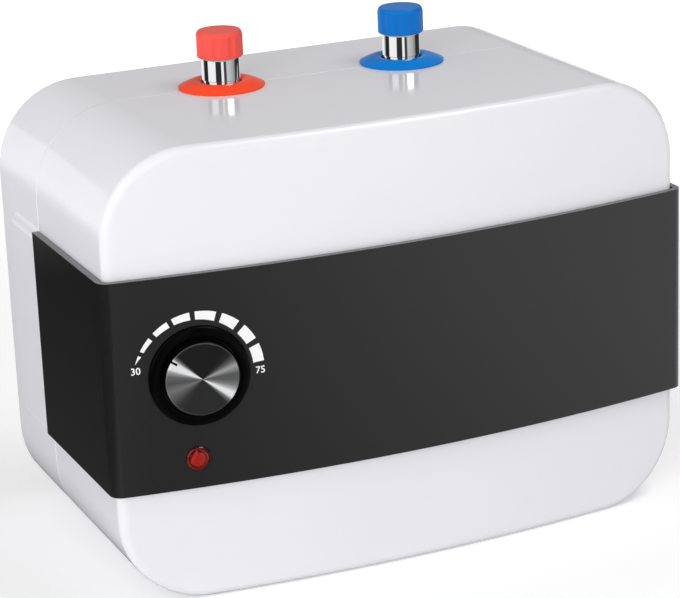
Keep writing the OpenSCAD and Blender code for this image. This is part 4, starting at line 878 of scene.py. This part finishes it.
class HEATER_OT_stage(bpy.types.Operator):
    """Set up the floor, the room, the lights and the camera"""

    bl_idname = "heater.stage"
    bl_label = "Studio"

    def mirrored_floor(self, tree, spot):
        """Tone of the floor where the heater mirrors it: falling off from the right to the left, dark
        close behind on the left, with a paler patch beside the left front, and white in the distance."""

        def fade(axis, start, end):
            return ranged(tree, spot[axis], start, end, shape="SMOOTHSTEP")

        left_tone = 0.04
        dark_behind = 0.62
        patch_tone = 0.5
        across = sums(tree, "MULTIPLY", fade("X", -0.4, 0.5), 1 - left_tone)
        across = sums(tree, "ADD", across, left_tone)
        behind = sums(tree, "MULTIPLY", fade("X", -0.12, -0.2), fade("Y", 0.0, 0.1))
        across = sums(tree, "MULTIPLY", across, sums(tree, "MULTIPLY_ADD", behind, -dark_behind, 1.0))
        beside = sums(tree, "MULTIPLY", fade("X", -0.34, -0.27), fade("X", -0.14, -0.18))
        patch = sums(tree, "MULTIPLY", beside, fade("Y", 0.06, -0.03))
        far = sums(tree, "MAXIMUM", fade("Y", 0.4, 1.5), sums(tree, "MULTIPLY", patch, patch_tone))
        return sums(tree, "MAXIMUM", across, far)

    def floor(self, look):
        size = FLOOR_HALF
        mesh = bpy.data.meshes.new("floor")
        mesh.from_pydata([(-size, -size, 0), (size, -size, 0), (size, size, 0), (-size, size, 0)], [],
                         [(0, 1, 2, 3)])
        floor = bpy.data.objects.new("floor", mesh)
        bpy.context.scene.collection.objects.link(floor)
        material, tree, shader = finish("pale_floor", look.floor[:], Roughness=0.7, Specular_IOR_Level=0.1)
        path = wire(tree, "ShaderNodeLightPath").outputs
        spot = wire(tree, "ShaderNodeNewGeometry").outputs["Position"]
        away = wire(tree, "ShaderNodeVectorMath", operation="LENGTH")
        join(tree, (spot, away.inputs[0]))
        # Seen straight, the floor is white, and whiter far off, so that it keeps the shadow near the heater
        near_white, far_white = 0.25, 0.4
        far = ranged(tree, away.outputs["Value"], 0.3, 1.2, shape="SMOOTHSTEP")
        white = sums(tree, "ADD", sums(tree, "MULTIPLY", far, far_white), near_white)
        shine = wire(tree, "ShaderNodeEmission")
        lit = wire(tree, "ShaderNodeAddShader")
        mirrored = wire(tree, "ShaderNodeEmission")
        pick = wire(tree, "ShaderNodeMixShader")
        out = next(n for n in tree.nodes if n.type == "OUTPUT_MATERIAL")
        join(tree, (sums(tree, "MULTIPLY", seen_straight(tree, path), white), shine.inputs["Strength"]),
             (shader.outputs[0], lit.inputs[0]), (shine.outputs[0], lit.inputs[1]),
             (self.mirrored_floor(tree, parts_of(tree, spot)), mirrored.inputs["Strength"]),
             (path["Is Glossy Ray"], pick.inputs[0]), (lit.outputs[0], pick.inputs[1]),
             (mirrored.outputs[0], pick.inputs[2]), (pick.outputs[0], out.inputs["Surface"]))
        mesh.materials.append(material)

    def room(self, look):
        world = bpy.data.worlds.new("studio")
        bpy.context.scene.world = world
        world.use_nodes = True
        tree = world.node_tree
        back = next(n for n in tree.nodes if n.type == "BACKGROUND")
        path = wire(tree, "ShaderNodeLightPath").outputs
        way = parts_of(tree, wire(tree, "ShaderNodeTexCoord").outputs["Generated"])
        turn = sums(tree, "DIVIDE", sums(tree, "ARCTAN2", way["Y"], way["X"]), 2 * math.pi)
        turn = sums(tree, "FRACT", turn)
        walls = graded(tree, turn, [(degrees / 360, tone) for degrees, tone in WALLS])
        below = sums(tree, "LESS_THAN", way["Z"], math.sin(math.radians(CARD_TOP)))
        between = sums(tree, "MULTIPLY", sums(tree, "GREATER_THAN", turn, CARD_FROM / 360),
                       sums(tree, "LESS_THAN", turn, CARD_TO / 360))
        pattern = sums(tree, "MAXIMUM", walls, sums(tree, "MULTIPLY", below, between))
        # White where it is seen, the pattern where it is mirrored, and even light for the rest
        pale = seen_straight(tree, path)
        unseen = sums(tree, "SUBTRACT", 1.0, pale)
        glossy = sums(tree, "MULTIPLY", path["Is Glossy Ray"], unseen)
        plain = sums(tree, "SUBTRACT", unseen, glossy)
        level = sums(tree, "ADD", pale, sums(tree, "MULTIPLY", glossy, pattern))
        level = sums(tree, "ADD", level, sums(tree, "MULTIPLY", plain, look.room))
        join(tree, (level, back.inputs["Strength"]))
        back.inputs["Color"].default_value = (1, 1, 1, 1)

    def light(self, name, place, width, watts, mirrored):
        data = bpy.data.lights.new(name, "AREA")
        data.shape = "RECTANGLE"
        data.size = width
        data.size_y = width
        data.energy = watts
        light = bpy.data.objects.new(name, data)
        bpy.context.scene.collection.objects.link(light)
        light.location = place
        light.rotation_euler = (LIGHTS_AIM - Vector(place)).to_track_quat("-Z", "Y").to_euler()
        light.visible_glossy = mirrored

    def camera(self, look):
        a, e, r = look.azimuth, look.elevation, look.roll
        back = Vector((math.sin(a) * math.cos(e), -math.cos(a) * math.cos(e), math.sin(e)))
        right = (-back).cross(UP).normalized()
        up = right.cross(-back)
        rolled_right = math.cos(r) * right + math.sin(r) * up
        rolled_up = -math.sin(r) * right + math.cos(r) * up
        data = bpy.data.cameras.new("camera")
        data.lens = look.lens
        data.sensor_width = SENSOR_W
        data.sensor_fit = "HORIZONTAL"
        data.clip_start = 0.01
        camera = bpy.data.objects.new("camera", data)
        bpy.context.scene.collection.objects.link(camera)
        axes = Matrix((rolled_right, rolled_up, back)).transposed()
        camera.matrix_world = Matrix.Translation(Vector(look.target) + look.distance * back) @ axes.to_4x4()
        bpy.context.scene.camera = camera

    def execute(self, context):
        look = context.scene.heater_studio
        context.scene.view_settings.view_transform = "Standard"
        self.floor(look)
        self.room(look)
        for name, place, width, mirrored in LIGHTS:
            self.light(f"{name}_light", place, width, getattr(look, name), mirrored)
        self.camera(look)
        return {"FINISHED"}


class HEATER_PT_panel(bpy.types.Panel):
    """The heater's pieces and finishes"""

    bl_idname = "HEATER_PT_panel"
    bl_label = "Water Heater"
    bl_space_type = "VIEW_3D"
    bl_region_type = "UI"
    bl_category = "Heater"

    def draw(self, context):
        for operator in OPERATORS:
            self.layout.operator(operator.bl_idname)
        for key, group in LOOKS.items():
            box = self.layout.box()
            box.label(text=group.__name__)
            for prop in group.__annotations__:
                box.prop(getattr(context.scene, key), prop)


LOOKS = {
    "heater_housing": HousingLook,
    "heater_band": BandLook,
    "heater_dial": DialLook,
    "heater_lamp": LampLook,
    "heater_pipes": PipeLook,
    "heater_studio": StudioLook,
}
OPERATORS = (HEATER_OT_housing, HEATER_OT_band, HEATER_OT_scale, HEATER_OT_knob, HEATER_OT_lamp,
             HEATER_OT_pipes, HEATER_OT_back, HEATER_OT_inside, HEATER_OT_stage)


def register():
    for made in (*LOOKS.values(), *OPERATORS, HEATER_PT_panel):
        bpy.utils.register_class(made)
    for key, group in LOOKS.items():
        setattr(bpy.types.Scene, key, PointerProperty(type=group))


def unregister():
    for key in LOOKS:
        delattr(bpy.types.Scene, key)
    for made in (HEATER_PT_panel, *reversed(OPERATORS), *LOOKS.values()):
        bpy.utils.unregister_class(made)


def main():
    register()
    bpy.ops.heater.housing()
    bpy.ops.heater.band()
    bpy.ops.heater.scale()
    bpy.ops.heater.knob()
    bpy.ops.heater.lamp()
    bpy.ops.heater.pipes()
    bpy.ops.heater.back()
    bpy.ops.heater.inside()
    bpy.ops.heater.stage()


if __name__ == "__main__":
    main()
